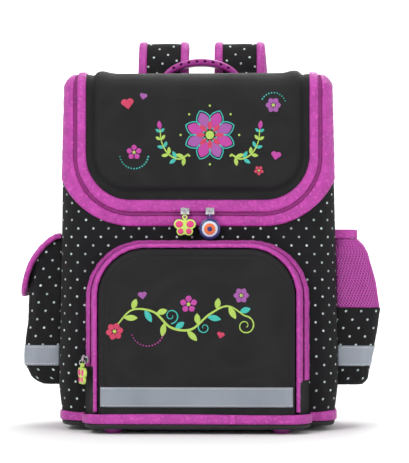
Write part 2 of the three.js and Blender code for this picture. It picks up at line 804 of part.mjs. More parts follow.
function backPanel() {
  const low = bodyLow + backPanelRise;
  const rear = bodyBack + gap;
  const plate = (left, right, foot, top, corner, levels) => loft(levels.map(({ y, inset }) => uprightRing(
    roundedRectangle(left + inset, right - inset, foot + inset, top - inset, corner - inset), rear + y)));
  const flat = plate(-backPanelWidth / 2, backPanelWidth / 2, low, low + backPanelHeight, backPadCorner,
    [{ y: 0, inset: 0 }, { y: backPanelThickness, inset: 0 }]);
  const crown = backPanelThickness + backPadThickness;
  return backPads.reduce((panel, pad) => {
    const x = pad.across * backPanelWidth;
    const z = low + pad.up * backPanelHeight;
    const [wide, tall] = [pad.width * backPanelWidth / 2, pad.height * backPanelHeight / 2];
    return panel.add(plate(x - wide, x + wide, z - tall, z + tall, backPadCorner, [
      { y: backPanelThickness / 2, inset: 0 },
      { y: crown - backPadRounding, inset: 0 },
      { y: crown, inset: backPadRounding },
    ]));
  }, flat);
}

const strapRim = strapBindingThickness + gap;
const strapRoot = bodyBack + gap + strapThickness / 2 + strapRim;

function strapCurve(side) {
  return new THREE.CatmullRomCurve3(strapPath.map(({ out, height, splay }) => {
    const x = side * (strapSpacing / 2 + strapSplay * splay);
    return new THREE.Vector3(x, strapRoot + strapReach * out, bodyLow + bodyHeight * height);
  }));
}

// Side view of webbing looped round a bar at the origin, with its two ends hanging down.
function webbingLoop(frontLeg, backLeg) {
  const inner = buckleBar / 2 * Math.SQRT2 + gap;
  const outer = inner + webbingThickness;
  const profile = new THREE.Shape();
  profile.moveTo(-outer, -frontLeg).lineTo(-outer, 0);
  profile.absarc(0, 0, outer, Math.PI, 0, true);
  profile.lineTo(outer, -backLeg).lineTo(inner, -backLeg).lineTo(inner, 0);
  profile.absarc(0, 0, inner, 0, Math.PI, false);
  profile.lineTo(-inner, -frontLeg);
  const size = { depth: webbingWidth, bevelEnabled: false, curveSegments: 6 };
  const cloth = new THREE.ExtrudeGeometry(profile, size);
  return solidOf(cloth.translate(0, 0, -webbingWidth / 2).rotateY(Math.PI / 2).rotateX(Math.PI / 2));
}

// Ladder-lock buckle: a flat frame with two slots, its upper bar at the top.
function ladderBuckle() {
  const slotHalf = webbingWidth / 2 + buckleClearance;
  const half = slotHalf + buckleSide;
  const frame = new THREE.Shape();
  const top = buckleBar / 2;
  const step = buckleBar + buckleSlot;
  frame.moveTo(-half, top).lineTo(half, top).lineTo(half, top - 2 * step - buckleBar);
  frame.lineTo(-half, top - 2 * step - buckleBar).lineTo(-half, top);
  for (let slot = 0; slot < 2; slot += 1) {
    const high = -top - slot * step;
    const hole = new THREE.Path();
    hole.moveTo(-slotHalf, high).lineTo(-slotHalf, high - buckleSlot);
    hole.lineTo(slotHalf, high - buckleSlot).lineTo(slotHalf, high).lineTo(-slotHalf, high);
    frame.holes.push(hole);
  }
  const flat = new THREE.ExtrudeGeometry(frame, { depth: buckleBar, bevelEnabled: false });
  return solidOf(flat.translate(0, 0, -buckleBar / 2).rotateX(Math.PI / 2));
}

// Strap with its binding, the webbing that runs from its end to the bag, and the buckle between them.
function shoulderStrap(side) {
  const label = side < 0 ? 'left' : 'right';
  const curve = strapCurve(side);
  const across = new THREE.Vector3(1, 0, 0);
  const { pad, binding } = boundStrip(curve, across, {
    width: strapWidth, thickness: strapThickness, binding: strapBindingThickness,
    bindingWidth: strapBindingWidth, endCorner: strapEndCorner, steps: strapSteps,
  });
  const group = new THREE.Group();
  group.add(piece(`shoulder_strap_${label}`, pad, dottedFabric()));
  group.add(piece(`strap_binding_${label}`, binding, magentaSatin()));

  const end = curve.getPointAt(1);
  const down = curve.getTangentAt(1);
  const sideways = across.clone().addScaledVector(down, -across.dot(down)).normalize();
  const outward = new THREE.Vector3().crossVectors(sideways, down);
  const lower = new THREE.Group();
  const up = down.clone().negate();
  lower.quaternion.setFromRotationMatrix(new THREE.Matrix4().makeBasis(sideways, outward, up));
  const barDrop = strapRim + gap + webbingThickness + 2 * buckleBar;
  lower.position.copy(end).addScaledVector(down, barDrop);

  const tabLeg = barDrop - strapRim - gap;
  const tab = piece(`strap_tab_${label}`, webbingLoop(tabLeg, tabLeg), blackWebbing());
  tab.rotation.x = Math.PI;
  lower.add(tab);
  lower.add(piece(`strap_buckle_${label}`, ladderBuckle(), blackPlastic()));

  const step = buckleBar + buckleSlot;
  const anchorFace = bodyBack + gap + anchorThickness;
  const reach = buckleBar / 2 * Math.SQRT2 + gap + webbingThickness;
  const middleBar = end.clone().addScaledVector(down, barDrop + step);
  const run = (middleBar.y - anchorFace - gap - reach) / -down.y;
  const webbing = piece(`strap_webbing_${label}`, webbingLoop(webbingTail, run), blackWebbing());
  webbing.position.z = -step;
  lower.add(webbing);
  group.add(lower);

  const foot = middleBar.clone().addScaledVector(down, run);
  const anchorLow = foot.z - anchorHeight / 3;
  const plate = block(foot.x - anchorWidth / 2, foot.x + anchorWidth / 2, bodyBack + gap, anchorFace,
    anchorLow, anchorLow + anchorHeight);
  group.add(piece(`strap_anchor_${label}`, plate, blackWebbing()));
  return group;
}

// Flat round eye with its hole from front to back.
function pullEye(radius, thickness) {
  const half = thickness / 2;
  const section = [
    new THREE.Vector2(pullHoleRadius, -half),
    new THREE.Vector2(radius, -half),
    new THREE.Vector2(radius, half),
    new THREE.Vector2(pullHoleRadius, half),
    new THREE.Vector2(pullHoleRadius, -half),
  ];
  return solidOf(new THREE.LatheGeometry(section, 12));
}

function slider() {
  const half = sliderWidth / 2;
  const plate = block(-half, half, -gap - sliderThickness, -gap, -sliderHeight / 2, sliderHeight / 2);
  const eye = pullEye(pullEyeRadius, pullEyeThickness).translate([0, -pullReach, 0]);
  const bridgeFront = -pullReach - pullEyeThickness / 2;
  const bridgeBack = -gap - sliderThickness / 2;
  const bridge = block(-pullHoleRadius, pullHoleRadius, bridgeFront, bridgeBack,
    pullHoleRadius + gap, sliderHeight / 2);
  return plate.add(eye).add(bridge);
}

function pullRing() {
  const ring = new THREE.TorusGeometry(ringRadius, ringWire, 5, 12).rotateY(Math.PI / 2);
  return solidOf(ring.translate(0, -pullReach, -ringRadius));
}

// Rubber charm with four rounded wings beside a slim middle.
function wingedCharm() {
  const [wide, thick] = [charmMiddleWidth / 2, charmThickness / 2];
  const low = -charmHeight * charmMiddleShare;
  const middle = block(-wide, wide, -thick, thick, low, -pullHoleRadius - gap);
  const wings = [-1, 1].flatMap((side) => charmLobes.map(({ radius, out, drop, flat }) => {
    const size = radius * charmHeight;
    const round = new THREE.CylinderGeometry(size, size, charmThickness, 12).scale(1, 1, flat);
    return solidOf(round.translate(side * out * charmHeight, 0, -drop * charmHeight));
  }));
  return wasm.Manifold.union([pullEye(pullEyeRadius, charmThickness), middle, ...wings]);
}

// Round rubber charm, domed on its front.
function roundCharm() {
  const centre = -pullHoleRadius - badgeRadius;
  const dome = new THREE.LatheGeometry(badgeSections.map(({ radius, rise }) =>
    new THREE.Vector2(radius * badgeRadius, rise * charmThickness)), turnedSides);
  const badge = solidOf(dome).rotate([180, 0, 0]).translate([0, 0, centre]);
  const hole = solidOf(new THREE.CylinderGeometry(pullHoleRadius, pullHoleRadius, beyond, 12));
  return badge.add(pullEye(pullEyeRadius, charmThickness)).subtract(hole);
}

// Slider, ring and charm, hung in front of a zip at the group's origin.
function zipPull(label, charm, color) {
  const group = new THREE.Group();
  group.add(piece(`${label}_slider`, slider(), nickel()));
  group.add(piece(`${label}_ring`, pullRing(), nickel()));
  const drop = piece(`${label}_charm`, charm, softRubber(color));
  drop.position.set(0, -pullReach, -2 * ringRadius);
  group.add(drop);
  return group;
}

function lidPulls() {
  const left = zipPull('lid_pull_left', wingedCharm(), 0xcde86a);
  const right = zipPull('lid_pull_right', roundCharm(), 0x2c3a7e);
  [left, right].forEach((pull, i) => {
    pull.position.set((i - 0.5) * lidPullSpacing, bodyFront - gap - bandThickness, zipLow + lidPullLift);
  });
  return [left, right];
}

function pocketPull() {
  const slope = Math.atan2(pocketFlareSide, pocketDepth);
  const stand = (gap + pocketZipThickness) / Math.cos(slope) + gap;
  const pull = zipPull('pocket_pull', wingedCharm(), 0xcde86a);
  pull.rotation.z = slope - Math.PI / 2;
  pull.position.set(-pocketWidth / 2 - pocketFlareSide / 2 - stand, pocketFront + pocketDepth / 2,
    zipEndLeft + sliderHeight);
  return pull;
}

function feet() {
  const places = [
    { name: 'front_left', x: -1, y: panelFrontFace + frontFootInset + footTopRadius },
    { name: 'front_right', x: 1, y: panelFrontFace + frontFootInset + footTopRadius },
    { name: 'back_left', x: -1, y: bodyBack - backFootInset },
    { name: 'back_right', x: 1, y: bodyBack - backFootInset },
  ];
  return places.map(({ name, x, y }) => {
    const mesh = piece(`foot_${name}`, foot(), magentaPlastic());
    mesh.position.set(x * footSpacingX / 2, y, 0);
    return mesh;
  });
}

const flap = flapOfLeftPocket();
const bag = new THREE.Group();
bag.add(
  piece('body_shell', bodyShell(), dottedFabric()),
  piece('lid_panel', lidPanel(), mouldedFabric()),
  piece('lid_band', lidBand(), magentaSatin()),
  piece('lid_zip', lidZip(), zipTeeth()),
  piece('body_band', bodyBand(), magentaSatin()),
  piece('front_pocket_panel', pocketPanel(), mouldedFabric()),
  piece('front_pocket_piping', pocketPiping(), magentaSatin()),
  piece('front_pocket_zip_band', pocketZipBand(), magentaSatin()),
  piece('front_pocket_zip', pocketZip(), magentaSatin()),
  piece('front_pocket_side_left', pocketSide(-1), dottedFabric()),
  piece('front_pocket_side_right', pocketSide(1), dottedFabric()),
  piece('front_reflector', frontReflector(), greyReflective()),
  piece('base_panel', basePanel(), blackPlastic()),
  piece('base_binding', baseBinding(), magentaSatin()),
  piece('base_binding_lap', bindingLap(), magentaSatin()),
  ...feet(),
  piece('left_pocket', leftPocketShell(), dottedFabric()),
  piece('left_reflector', sideReflector(leftPocket), greyReflective()),
  piece('left_flap', flap.pad, dottedFabric()),
  piece('left_flap_binding', flap.binding, magentaSatin()),
  piece('right_pocket', rightPocketLower(), dottedFabric()),
  piece('right_pocket_net', rightPocketNet(), magentaNet()),
  piece('right_pocket_elastic', rightPocketElastic(), magentaSatin()),
  piece('right_reflector', sideReflector(rightPocket), greyReflective()),
  piece('handle', handle(), magentaPlastic()),
  piece('back_panel', backPanel(), mouldedFabric()),
  shoulderStrap(-1),
  shoulderStrap(1),
  ...lidPulls(),
  pocketPull(),
);

// The origin is the middle of the floor that the whole bag covers.
const reach = new THREE.Box3().setFromObject(bag);
bag.position.set(-(reach.min.x + reach.max.x) / 2, -(reach.min.y + reach.max.y) / 2, 0);
bag.updateMatrixWorld(true);

const ransel = new THREE.Group();
ransel.add(bag);

export default ransel;
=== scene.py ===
# School ransel: the finish, cloth and trims of the bag, built round its solid frame.
# Metres, +Z up, the front of the bag faces -Y.

import math

import bmesh
import bpy
import numpy as np
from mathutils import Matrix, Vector


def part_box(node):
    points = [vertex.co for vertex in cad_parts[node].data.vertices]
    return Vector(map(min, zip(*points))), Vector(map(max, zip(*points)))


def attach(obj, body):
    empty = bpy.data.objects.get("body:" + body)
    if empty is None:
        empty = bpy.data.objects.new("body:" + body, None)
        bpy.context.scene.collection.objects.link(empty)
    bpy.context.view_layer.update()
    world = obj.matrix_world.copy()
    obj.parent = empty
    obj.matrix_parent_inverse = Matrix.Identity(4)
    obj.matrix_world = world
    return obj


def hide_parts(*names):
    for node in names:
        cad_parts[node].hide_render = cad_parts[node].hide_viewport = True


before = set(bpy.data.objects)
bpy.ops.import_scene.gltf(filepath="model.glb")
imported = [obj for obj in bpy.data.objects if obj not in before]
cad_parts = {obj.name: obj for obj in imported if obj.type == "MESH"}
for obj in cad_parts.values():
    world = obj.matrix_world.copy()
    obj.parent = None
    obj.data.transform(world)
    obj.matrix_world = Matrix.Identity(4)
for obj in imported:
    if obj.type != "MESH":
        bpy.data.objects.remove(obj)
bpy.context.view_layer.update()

# The camera stands in front of the bag, slightly to its own left side and level with its middle,
# about two metres away, as a catalogue photograph is taken.
BODY_FRONT = -0.0852
CAMERA_DISTANCE = 2.2
CAMERA_TURN = math.radians(1.5)
CAMERA_HEIGHT = 0.208
VIEW_WIDTH = 0.427
VIEW_CENTRE = Vector((0.0063, BODY_FRONT, 0.2085))


def new_object(name, data):
    made = bpy.data.objects.new(name, data)
    bpy.context.scene.collection.objects.link(made)
    return made


camera_data = bpy.data.cameras.new("camera")
camera_data.sensor_width = 36
camera = new_object("camera", camera_data)
bpy.context.scene.camera = camera
PHOTO_WIDTH, PHOTO_HEIGHT = 409, 463
view_long = VIEW_WIDTH * PHOTO_HEIGHT / PHOTO_WIDTH
camera_data.lens = camera_data.sensor_width * CAMERA_DISTANCE / view_long
camera.location = VIEW_CENTRE + CAMERA_DISTANCE * Vector((math.sin(CAMERA_TURN), -math.cos(CAMERA_TURN), 0))
camera.location.z = CAMERA_HEIGHT
camera.rotation_euler = (VIEW_CENTRE - camera.location).to_track_quat("-Z", "Y").to_euler()
camera_data.clip_start, camera_data.clip_end = 0.01, 50

# Studio: a floor of pale paper that turns up into a wall well behind the bag, and broad soft lamps round
# it. They are the picture's setting, and no part of the bag.
FLOOR_FRONT, FLOOR_BACK, FLOOR_HALF, WALL_HIGH, FLOOR_TURN = -9.0, 4.4, 7.0, 4.5, 0.9
floor_profile = [(FLOOR_FRONT, 0.0)]
for step in range(13):
    turn = step / 12 * math.pi / 2
    floor_profile.append((FLOOR_BACK - FLOOR_TURN + FLOOR_TURN * math.sin(turn),
                          FLOOR_TURN * (1 - math.cos(turn))))
floor_profile.append((FLOOR_BACK, WALL_HIGH))
floor_mesh = bpy.data.meshes.new("floor")
floor_mesh.from_pydata(
    [(x, y, z) for y, z in floor_profile for x in (-FLOOR_HALF, FLOOR_HALF)], [],
    [(2 * i, 2 * i + 1, 2 * i + 3, 2 * i + 2) for i in range(len(floor_profile) - 1)])
floor_mesh.polygons.foreach_set("use_smooth", [True] * len(floor_mesh.polygons))
floor = new_object("floor", floor_mesh)
floor_paper = bpy.data.materials.new("studio_paper")
floor_paper.use_nodes = True
paper_shader = floor_paper.node_tree.nodes["Principled BSDF"]
paper_shader.inputs["Base Color"].default_value = (0.93, 0.93, 0.93, 1)
paper_shader.inputs["Roughness"].default_value = 0.9
floor_mesh.materials.append(floor_paper)

for lamp_name, place, aim, size, power in [
    ("key_lamp", (-1.5, -2.3, 1.9), (0, 0, 0.22), 1.5, 44),
    ("fill_lamp", (1.9, -2.1, 1.1), (0, 0, 0.2), 1.6, 20),
    ("top_lamp", (0.1, 0.3, 2.4), (0, 0, 0.3), 1.6, 24),
    ("rear_lamp", (0.4, 1.35, 1.5), (0, 0.2, 0.2), 1.2, 10),
    ("paper_lamp", (0, 2.6, 2.9), (0, 4.4, 0.7), 2.4, 110),
]:
    lamp_data = bpy.data.lights.new(lamp_name, "AREA")
    lamp_data.shape = "DISK"
    lamp_data.size = size
    lamp_data.energy = power
    lamp = new_object(lamp_name, lamp_data)
    lamp.location = place
    lamp.rotation_euler = (Vector(aim) - Vector(place)).to_track_quat("-Z", "Y").to_euler()
studio_air = bpy.data.worlds.new("studio_air")
studio_air.use_nodes = True
studio_air.node_tree.nodes["Background"].inputs["Color"].default_value = (1, 1, 1, 1)
studio_air.node_tree.nodes["Background"].inputs["Strength"].default_value = 0.55
bpy.context.scene.world = studio_air
bpy.context.scene.view_settings.view_transform = "Standard"


# Body: a stiff padded box of black polyester printed with small pale dots. It is open at the top and the
# upper front, under the lid, and its cloth is laid over a board, so it is nearly flat with soft edges.
MM = 0.001
shell_low, shell_high = (np.array(corner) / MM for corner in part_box("body_shell"))
SHIFT = (shell_low + shell_high) / 2 * np.array([1, 1, 0])
BODY_WIDTH, BODY_DEPTH, BODY_LOW, BODY_HIGH = 294.0, 150.0, 10.8, 373.8
BODY_CORNER, BODY_TOP_EDGE, BODY_WALL = 24.0, 18.0, 3.0
BODY_ROWS = [(0, 0.965, 0.97), (0.03, 0.98, 0.985), (0.1, 1, 1), (0.56, 0.98, 1), (0.78, 0.966, 1),
             (1 - BODY_TOP_EDGE / 363.0, 0.955, 1), (1, 0.955, 1)]
LID_HALF, LID_LOW, LID_CORNER, LID_BACK = 128.0, 226.8, 60.0, 55.0


def body_half(z, size, column):
    """Half of a size of the body at a height, without its rounded top edge; column is that size's in the rows."""
    share = (np.asarray(z, float) - BODY_LOW) / (BODY_HIGH - BODY_LOW)
    return size / 2 * np.interp(share, [row[0] for row in BODY_ROWS], [row[column] for row in BODY_ROWS])


def half_width(z):
    return body_half(z, BODY_WIDTH, 1)


def half_depth(z):
    return body_half(z, BODY_DEPTH, 2)


def inside_corner(across, along, radius):
    """How far points lie inside a rounded corner; across and along run outwards from the corner's centre."""
    return (radius - np.hypot(np.maximum(across, 0), np.maximum(along, 0))
            - np.minimum(np.maximum(across, along), 0))


def body_distance(p):
    """Distance of points outside the body's rounded form, in the body's own millimetres."""
    x, y, z = p[..., 0], p[..., 1], p[..., 2]
    flat = -inside_corner(np.abs(x) - half_width(z) + BODY_CORNER, np.abs(y) - half_depth(z) + BODY_CORNER,
                          BODY_CORNER - BODY_TOP_EDGE)
    return -inside_corner(flat, z - (BODY_HIGH - BODY_TOP_EDGE), BODY_TOP_EDGE)


def out_to(core, direction, offset):
    """Points that lie offset outside the body, on rays from core points inside it."""
    low = np.zeros(core.shape[:-1])
    high = np.full(core.shape[:-1], 220.0)
    for _ in range(34):
        middle = (low + high) / 2
        inside = body_distance(core + direction * middle[..., None]) < offset
        low = np.where(inside, middle, low)
        high = np.where(inside, high, middle)
    return core + direction * high[..., None]


def rounded_rectangle(half_x, half_y, radius, count_x=56, count_y=24, turn_steps=12):
    """Points round a rounded rectangle, from the front end of its right side, seen from the front."""
    points = []
    for quarter in range(4):
        a = quarter * math.pi / 2
        turn = np.array([[math.cos(a), -math.sin(a)], [math.sin(a), math.cos(a)]])
        reach, side, count = (half_x, half_y, count_y) if quarter % 2 == 0 else (half_y, half_x, count_x)
        for i in range(count):
            points.append(turn @ np.array([reach, (side - radius) * (2 * i / count - 1)]))
        for i in range(turn_steps):
            b = i / turn_steps * math.pi / 2
            corner = np.array([reach - radius, side - radius])
            points.append(turn @ (corner + radius * np.array([math.cos(b), math.sin(b)])))
    return np.array(points)


def noise3(p, scale, seed):
    """Smooth repeatable unevenness between about -1 and 1 at points in millimetres."""
    rng = np.random.default_rng(seed)
    total = np.zeros(p.shape[:-1])
    for _ in range(9):
        way = rng.normal(size=3)
        way /= np.linalg.norm(way)
        total += np.sin((p @ way) * 2 * math.pi / (scale * rng.uniform(0.7, 1.6)) + rng.uniform(0, 6.3))
    return total / 3.4


def finished(name, mesh, material):
    """The object of a smooth mesh in one material."""
    mesh.name = name
    mesh.materials.clear()
    mesh.materials.append(material)
    mesh.polygons.foreach_set("material_index", [0] * len(mesh.polygons))
    mesh.polygons.foreach_set("use_smooth", [True] * len(mesh.polygons))
    return new_object(name, mesh)


def mesh_piece(name, points, faces, material, corner_uv=None):
    """A mesh object from points in the bag's own millimetres, with its doubles merged and faces outwards."""
    mesh = bpy.data.meshes.new(name)
    mesh.from_pydata(((np.asarray(points) + SHIFT) * MM).tolist(), [], [tuple(f) for f in faces])
    if corner_uv is not None:
        layer = mesh.uv_layers.new(name="cloth")
        layer.data.foreach_set("uv", (np.concatenate(corner_uv) * MM).astype(np.float32).ravel())
    bm = bmesh.new()
    bm.from_mesh(mesh)
    bmesh.ops.remove_doubles(bm, verts=bm.verts, dist=2e-6)
    bmesh.ops.dissolve_degenerate(bm, edges=bm.edges, dist=1e-7)
    bmesh.ops.delete(bm, geom=[v for v in bm.verts if not v.link_faces], context="VERTS")
    bmesh.ops.recalc_face_normals(bm, faces=bm.faces)
    bm.to_mesh(mesh)
    bm.free()
    return finished(name, mesh, material)


def fit(piece, slot, *nodes):
    """The piece rides on the bag and stands for these solids of its frame."""
    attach(piece, "root")
    if nodes:
        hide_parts(*nodes)
    return piece


def thick_grid(name, outer, inner, material, uv=None, wrap=False, keep=None):
    """Closed cloth with its outer and inner face as grids of points; keep says which quads remain.
    Where the grid wraps, uv has one column more than the points."""
    rows, columns = outer.shape[:2]
    count = rows * columns
    faces, corners, sides = [], [], {}
    if uv is None:
        uv = np.zeros((rows, columns + wrap, 2))
    for r in range(rows - 1):
        for c in range(columns if wrap else columns - 1):
            if keep is not None and not keep[r, c]:
                continue
            d = (c + 1) % columns
            quad = [r * columns + c, r * columns + d, (r + 1) * columns + d, (r + 1) * columns + c]
            flat = [uv[r, c], uv[r, c + 1], uv[r + 1, c + 1], uv[r + 1, c]]
            faces += [quad, [i + count for i in reversed(quad)]]
            corners += [flat, flat[::-1]]
            for i in range(4):
                sides[quad[i], quad[(i + 1) % 4]] = (flat[i], flat[(i + 1) % 4])
    for (a, b), (flat_a, flat_b) in sides.items():
        if (b, a) not in sides:
            faces.append([b, a, a + count, b + count])
            corners.append([flat_b, flat_a, flat_a, flat_b])
    points = np.concatenate([outer.reshape(-1, 3), inner.reshape(-1, 3)])
    return mesh_piece(name, points, faces, material, corners)


def tint(colour, share):
    """A darker or lighter tone of a colour."""
    return (*(share * part for part in colour), 1)


class Finish:
    """A material under construction: its nodes are added one by one, left to right."""

    def __init__(self, name, colour, roughness, metallic=0.0):
        self.material = bpy.data.materials.new(name)
        self.material.use_nodes = True
        self.nodes = self.material.node_tree.nodes
        self.links = self.material.node_tree.links
        self.shader = self.nodes["Principled BSDF"]
        self.shader.inputs["Base Color"].default_value = (*colour, 1)
        self.shader.inputs["Roughness"].default_value = roughness
        self.shader.inputs["Metallic"].default_value = metallic
        self.place = self.nodes.new("ShaderNodeTexCoord").outputs["Object"]

    def add(self, kind, **values):
        node = self.nodes.new("ShaderNode" + kind)
        inputs = values.pop("inputs", {})
        for key, value in values.items():
            setattr(node, key, value)
        for key, value in inputs.items():
            if hasattr(value, "is_linked"):
                self.links.new(value, node.inputs[key])
            else:
                node.inputs[key].default_value = value
        return node

    def math(self, operation, a, b=0.0):
        return self.add("Math", operation=operation, inputs={0: a, 1: b}).outputs[0]

    def wave(self, length, pitch):
        """A sine of a length in metres, with its pitch in metres."""
        return self.math("SINE", self.math("MULTIPLY", length, 2 * math.pi / pitch))

    def ramp(self, value, low, high, to_low=0.0, to_high=1.0):
        return self.add("MapRange", inputs={0: value, 1: low, 2: high, 3: to_low, 4: to_high}).outputs[0]

    def blend(self, share, a, b):
        """Colour a where share is 0 and b where it is 1."""
        node = self.add("Mix", data_type="RGBA")
        for socket, value in ((node.inputs[0], share), (node.inputs[6], a), (node.inputs[7], b)):
            if hasattr(value, "is_linked"):
                self.links.new(value, socket)
            else:
                socket.default_value = value
        return node.outputs[2]

    def noise(self, scale, detail=3.0):
        return self.add("TexNoise", inputs={
            "Vector": self.place, "Scale": scale, "Detail": detail}).outputs["Fac"]

    def colour(self, output):
        self.links.new(output, self.shader.inputs["Base Color"])

    def rough(self, output):
        self.links.new(output, self.shader.inputs["Roughness"])

    def bump(self, height, strength, distance):
        """Adds a height in the shader's bump, on top of what is there; distance in metres."""
        before = self.shader.inputs["Normal"]
        node = self.add("Bump", inputs={"Height": height, "Strength": strength, "Distance": distance})
        if before.is_linked:
            self.links.new(before.links[0].from_socket, node.inputs["Normal"])
        self.links.new(node.outputs[0], before)


def weave(finish, pitch, depth):
    """Plain weave: threads across and along, as a height that the surface rises and falls by."""
    parts = finish.add("SeparateXYZ", inputs={0: finish.place})
    x, y, z = (finish.wave(parts.outputs[axis], pitch) for axis in range(3))
    crossed = [finish.math("MULTIPLY", a, b) for a, b in ((x, z), (y, z), (x, y))]
    finish.bump(finish.math("ADD", finish.math("ADD", *crossed[:2]), crossed[2]), 1.0, depth)


DOT_PITCH, DOT_ROW, DOT_RADIUS, DOT_EDGE = 0.0161, 0.0089, 0.00121, 0.00012


def dotted_cloth(name, ground):
    """Black woven cloth with staggered rows of small pale dots, which follow the cloth's own map."""
    finish = Finish(name, ground, 0.8)
    cloth = finish.add("UVMap", uv_map="cloth").outputs[0]
    cell = (DOT_PITCH, 2 * DOT_ROW, 1.0)
    across = finish.add("VectorMath", operation="DIVIDE", inputs={0: cloth, 1: cell}).outputs[0]
    reach = []
    for start in (0.0, 0.5):
        moved = finish.add("VectorMath", operation="ADD", inputs={0: across, 1: (start, start, 0)}).outputs[0]
        part = finish.add("VectorMath", operation="FRACTION", inputs={0: moved}).outputs[0]
        middle = finish.add("VectorMath", operation="SUBTRACT", inputs={0: part, 1: (0.5, 0.5, 0)}).outputs[0]
        size = finish.add("VectorMath", operation="MULTIPLY", inputs={0: middle, 1: (*cell[:2], 0)}).outputs[0]
        reach.append(finish.add("VectorMath", operation="LENGTH", inputs={0: size}).outputs["Value"])
    near = finish.math("MINIMUM", *reach)
    dot = finish.ramp(near, DOT_RADIUS + DOT_EDGE, DOT_RADIUS - DOT_EDGE)
    cloth_colour = finish.blend(finish.ramp(finish.noise(60), 0.3, 0.7), tint(ground, 0.8), tint(ground, 1.25))
    worn = finish.ramp(finish.noise(150, 1.0), 0.36, 0.64)
    dot_colour = finish.blend(worn, (0.33, 0.39, 0.385, 1), (0.62, 0.72, 0.70, 1))
    finish.colour(finish.blend(dot, cloth_colour, dot_colour))
    finish.rough(finish.ramp(dot, 0, 1, 0.82, 0.55))
    weave(finish, 0.0011, 0.00012)
    finish.bump(finish.noise(45, 4), 0.35, 0.0012)
    finish.bump(dot, 0.5, 0.00015)
    finish.shader.inputs["Sheen Weight"].default_value = 0.03
    finish.shader.inputs["Specular IOR Level"].default_value = 0.25
    return finish.material


DOTTED = dotted_cloth("dotted_polyester", (0.0062, 0.0062, 0.0072))

SEAM_LEFT, SEAM_RIGHT = -130.0, 124.5
body_rings = [(BODY_LOW, k) for k in (75, 60, 45, 30, 15, 6)]
body_rings += [(z, 0) for z in np.linspace(BODY_LOW, BODY_HIGH - BODY_TOP_EDGE, 74)]
body_rings += [(BODY_HIGH - BODY_TOP_EDGE * (1 - math.sin(a)), BODY_TOP_EDGE * (1 - math.cos(a)))
               for a in np.linspace(0, math.pi / 2, 9)[1:]]
body_rings += [(BODY_HIGH, k) for k in (24, 32, 40, 50, 62, 75)]


def body_ring(z, inset, wall):
    """One level of the body; wall moves it in from the outer face."""
    back = BODY_TOP_EDGE - wall
    if wall and inset <= BODY_TOP_EDGE and z > BODY_HIGH - BODY_TOP_EDGE:
        share = 1 - inset / BODY_TOP_EDGE
        inset = BODY_TOP_EDGE - back * share
        z = BODY_HIGH - BODY_TOP_EDGE + back * math.sqrt(max(0.0, 1 - share * share))
    elif wall:
        inset = max(inset, wall)
        z = min(max(z, BODY_LOW + wall), BODY_HIGH - wall)
    half_x, half_y = half_width(z), half_depth(z)
    radius = max(BODY_CORNER - inset, 0.5)
    side = max(half_y - inset, 0)
    outline = rounded_rectangle(max(half_x - inset, 1), side, min(radius, side))
    return np.column_stack([outline, np.full(len(outline), z)])


body_outer = np.array([body_ring(z, k, 0) for z, k in body_rings])
body_inner = np.array([body_ring(z, k, BODY_WALL) for z, k in body_rings])
outline_steps = np.linalg.norm(np.diff(np.vstack([body_outer[30], body_outer[30][:1]])[:, :2], axis=0), axis=1)
body_u = np.concatenate([[0], np.cumsum(outline_steps)])
body_v = np.concatenate([[0], np.cumsum([max(abs(b[0] - a[0]), abs(b[1] - a[1]))
                                         for a, b in zip(body_rings, body_rings[1:])])])
body_uv = np.stack(np.meshgrid(body_u, body_v), axis=-1)


def lid_inside(x, z):
    """How far a point of the front view lies inside the U-shaped line of the lid's zip."""
    return inside_corner(np.abs(x) - (LID_HALF - LID_CORNER), LID_LOW + LID_CORNER - z, LID_CORNER)


def body_normal(p):
    """Outward direction of the body's form at points near it."""
    step = 0.4
    slopes = [body_distance(p + step * np.eye(3)[i]) - body_distance(p - step * np.eye(3)[i]) for i in range(3)]
    normal = np.stack(slopes, axis=-1)
    return normal / np.maximum(np.linalg.norm(normal, axis=-1, keepdims=True), 1e-9)


x, y, z = body_outer[..., 0], body_outer[..., 1], body_outer[..., 2]
lift = 0.45 * noise3(body_outer, 95, 3)
on_front = np.clip((-y - 40) / 15, 0, 1) * (z < LID_LOW)
lift -= on_front * 0.9 * (np.exp(-((x - SEAM_LEFT) / 1.7) ** 2) + np.exp(-((x - SEAM_RIGHT) / 1.7) ** 2))
on_side = np.clip((np.abs(x) - 128) / 10, 0, 1)
lift += on_side * 0.8 * np.exp(-((z - 262) / 45) ** 2) * np.cos(y / 48)
lift = np.where((z > BODY_LOW + 8) & (z < BODY_HIGH - 4), lift, 0)
body_outer = body_outer + body_normal(body_outer) * lift[..., None]
middles = (body_outer[:-1] + body_outer[1:]) / 2
middles = (middles + np.roll(middles, -1, axis=1)) / 2
body_keep = ~((lid_inside(middles[..., 0], middles[..., 2]) > -4) & (middles[..., 1] < LID_BACK + 2))

body = thick_grid("body", body_outer, body_inner, DOTTED, body_uv, wrap=True, keep=body_keep)
fit(body, "dotted_fabric", "body_shell")


# Lid: one moulded panel of foam under smooth black cloth. It runs from the hinge line on the top over the
# front edge and down the front. Heat pressing leaves a raised field inside a flat border.
EDGE_TURN = BODY_TOP_EDGE * math.pi / 2
LID_TURN = BODY_HIGH - BODY_TOP_EDGE
LID_END = LID_TURN + EDGE_TURN + (LID_BACK + BODY_DEPTH / 2 - BODY_TOP_EDGE)


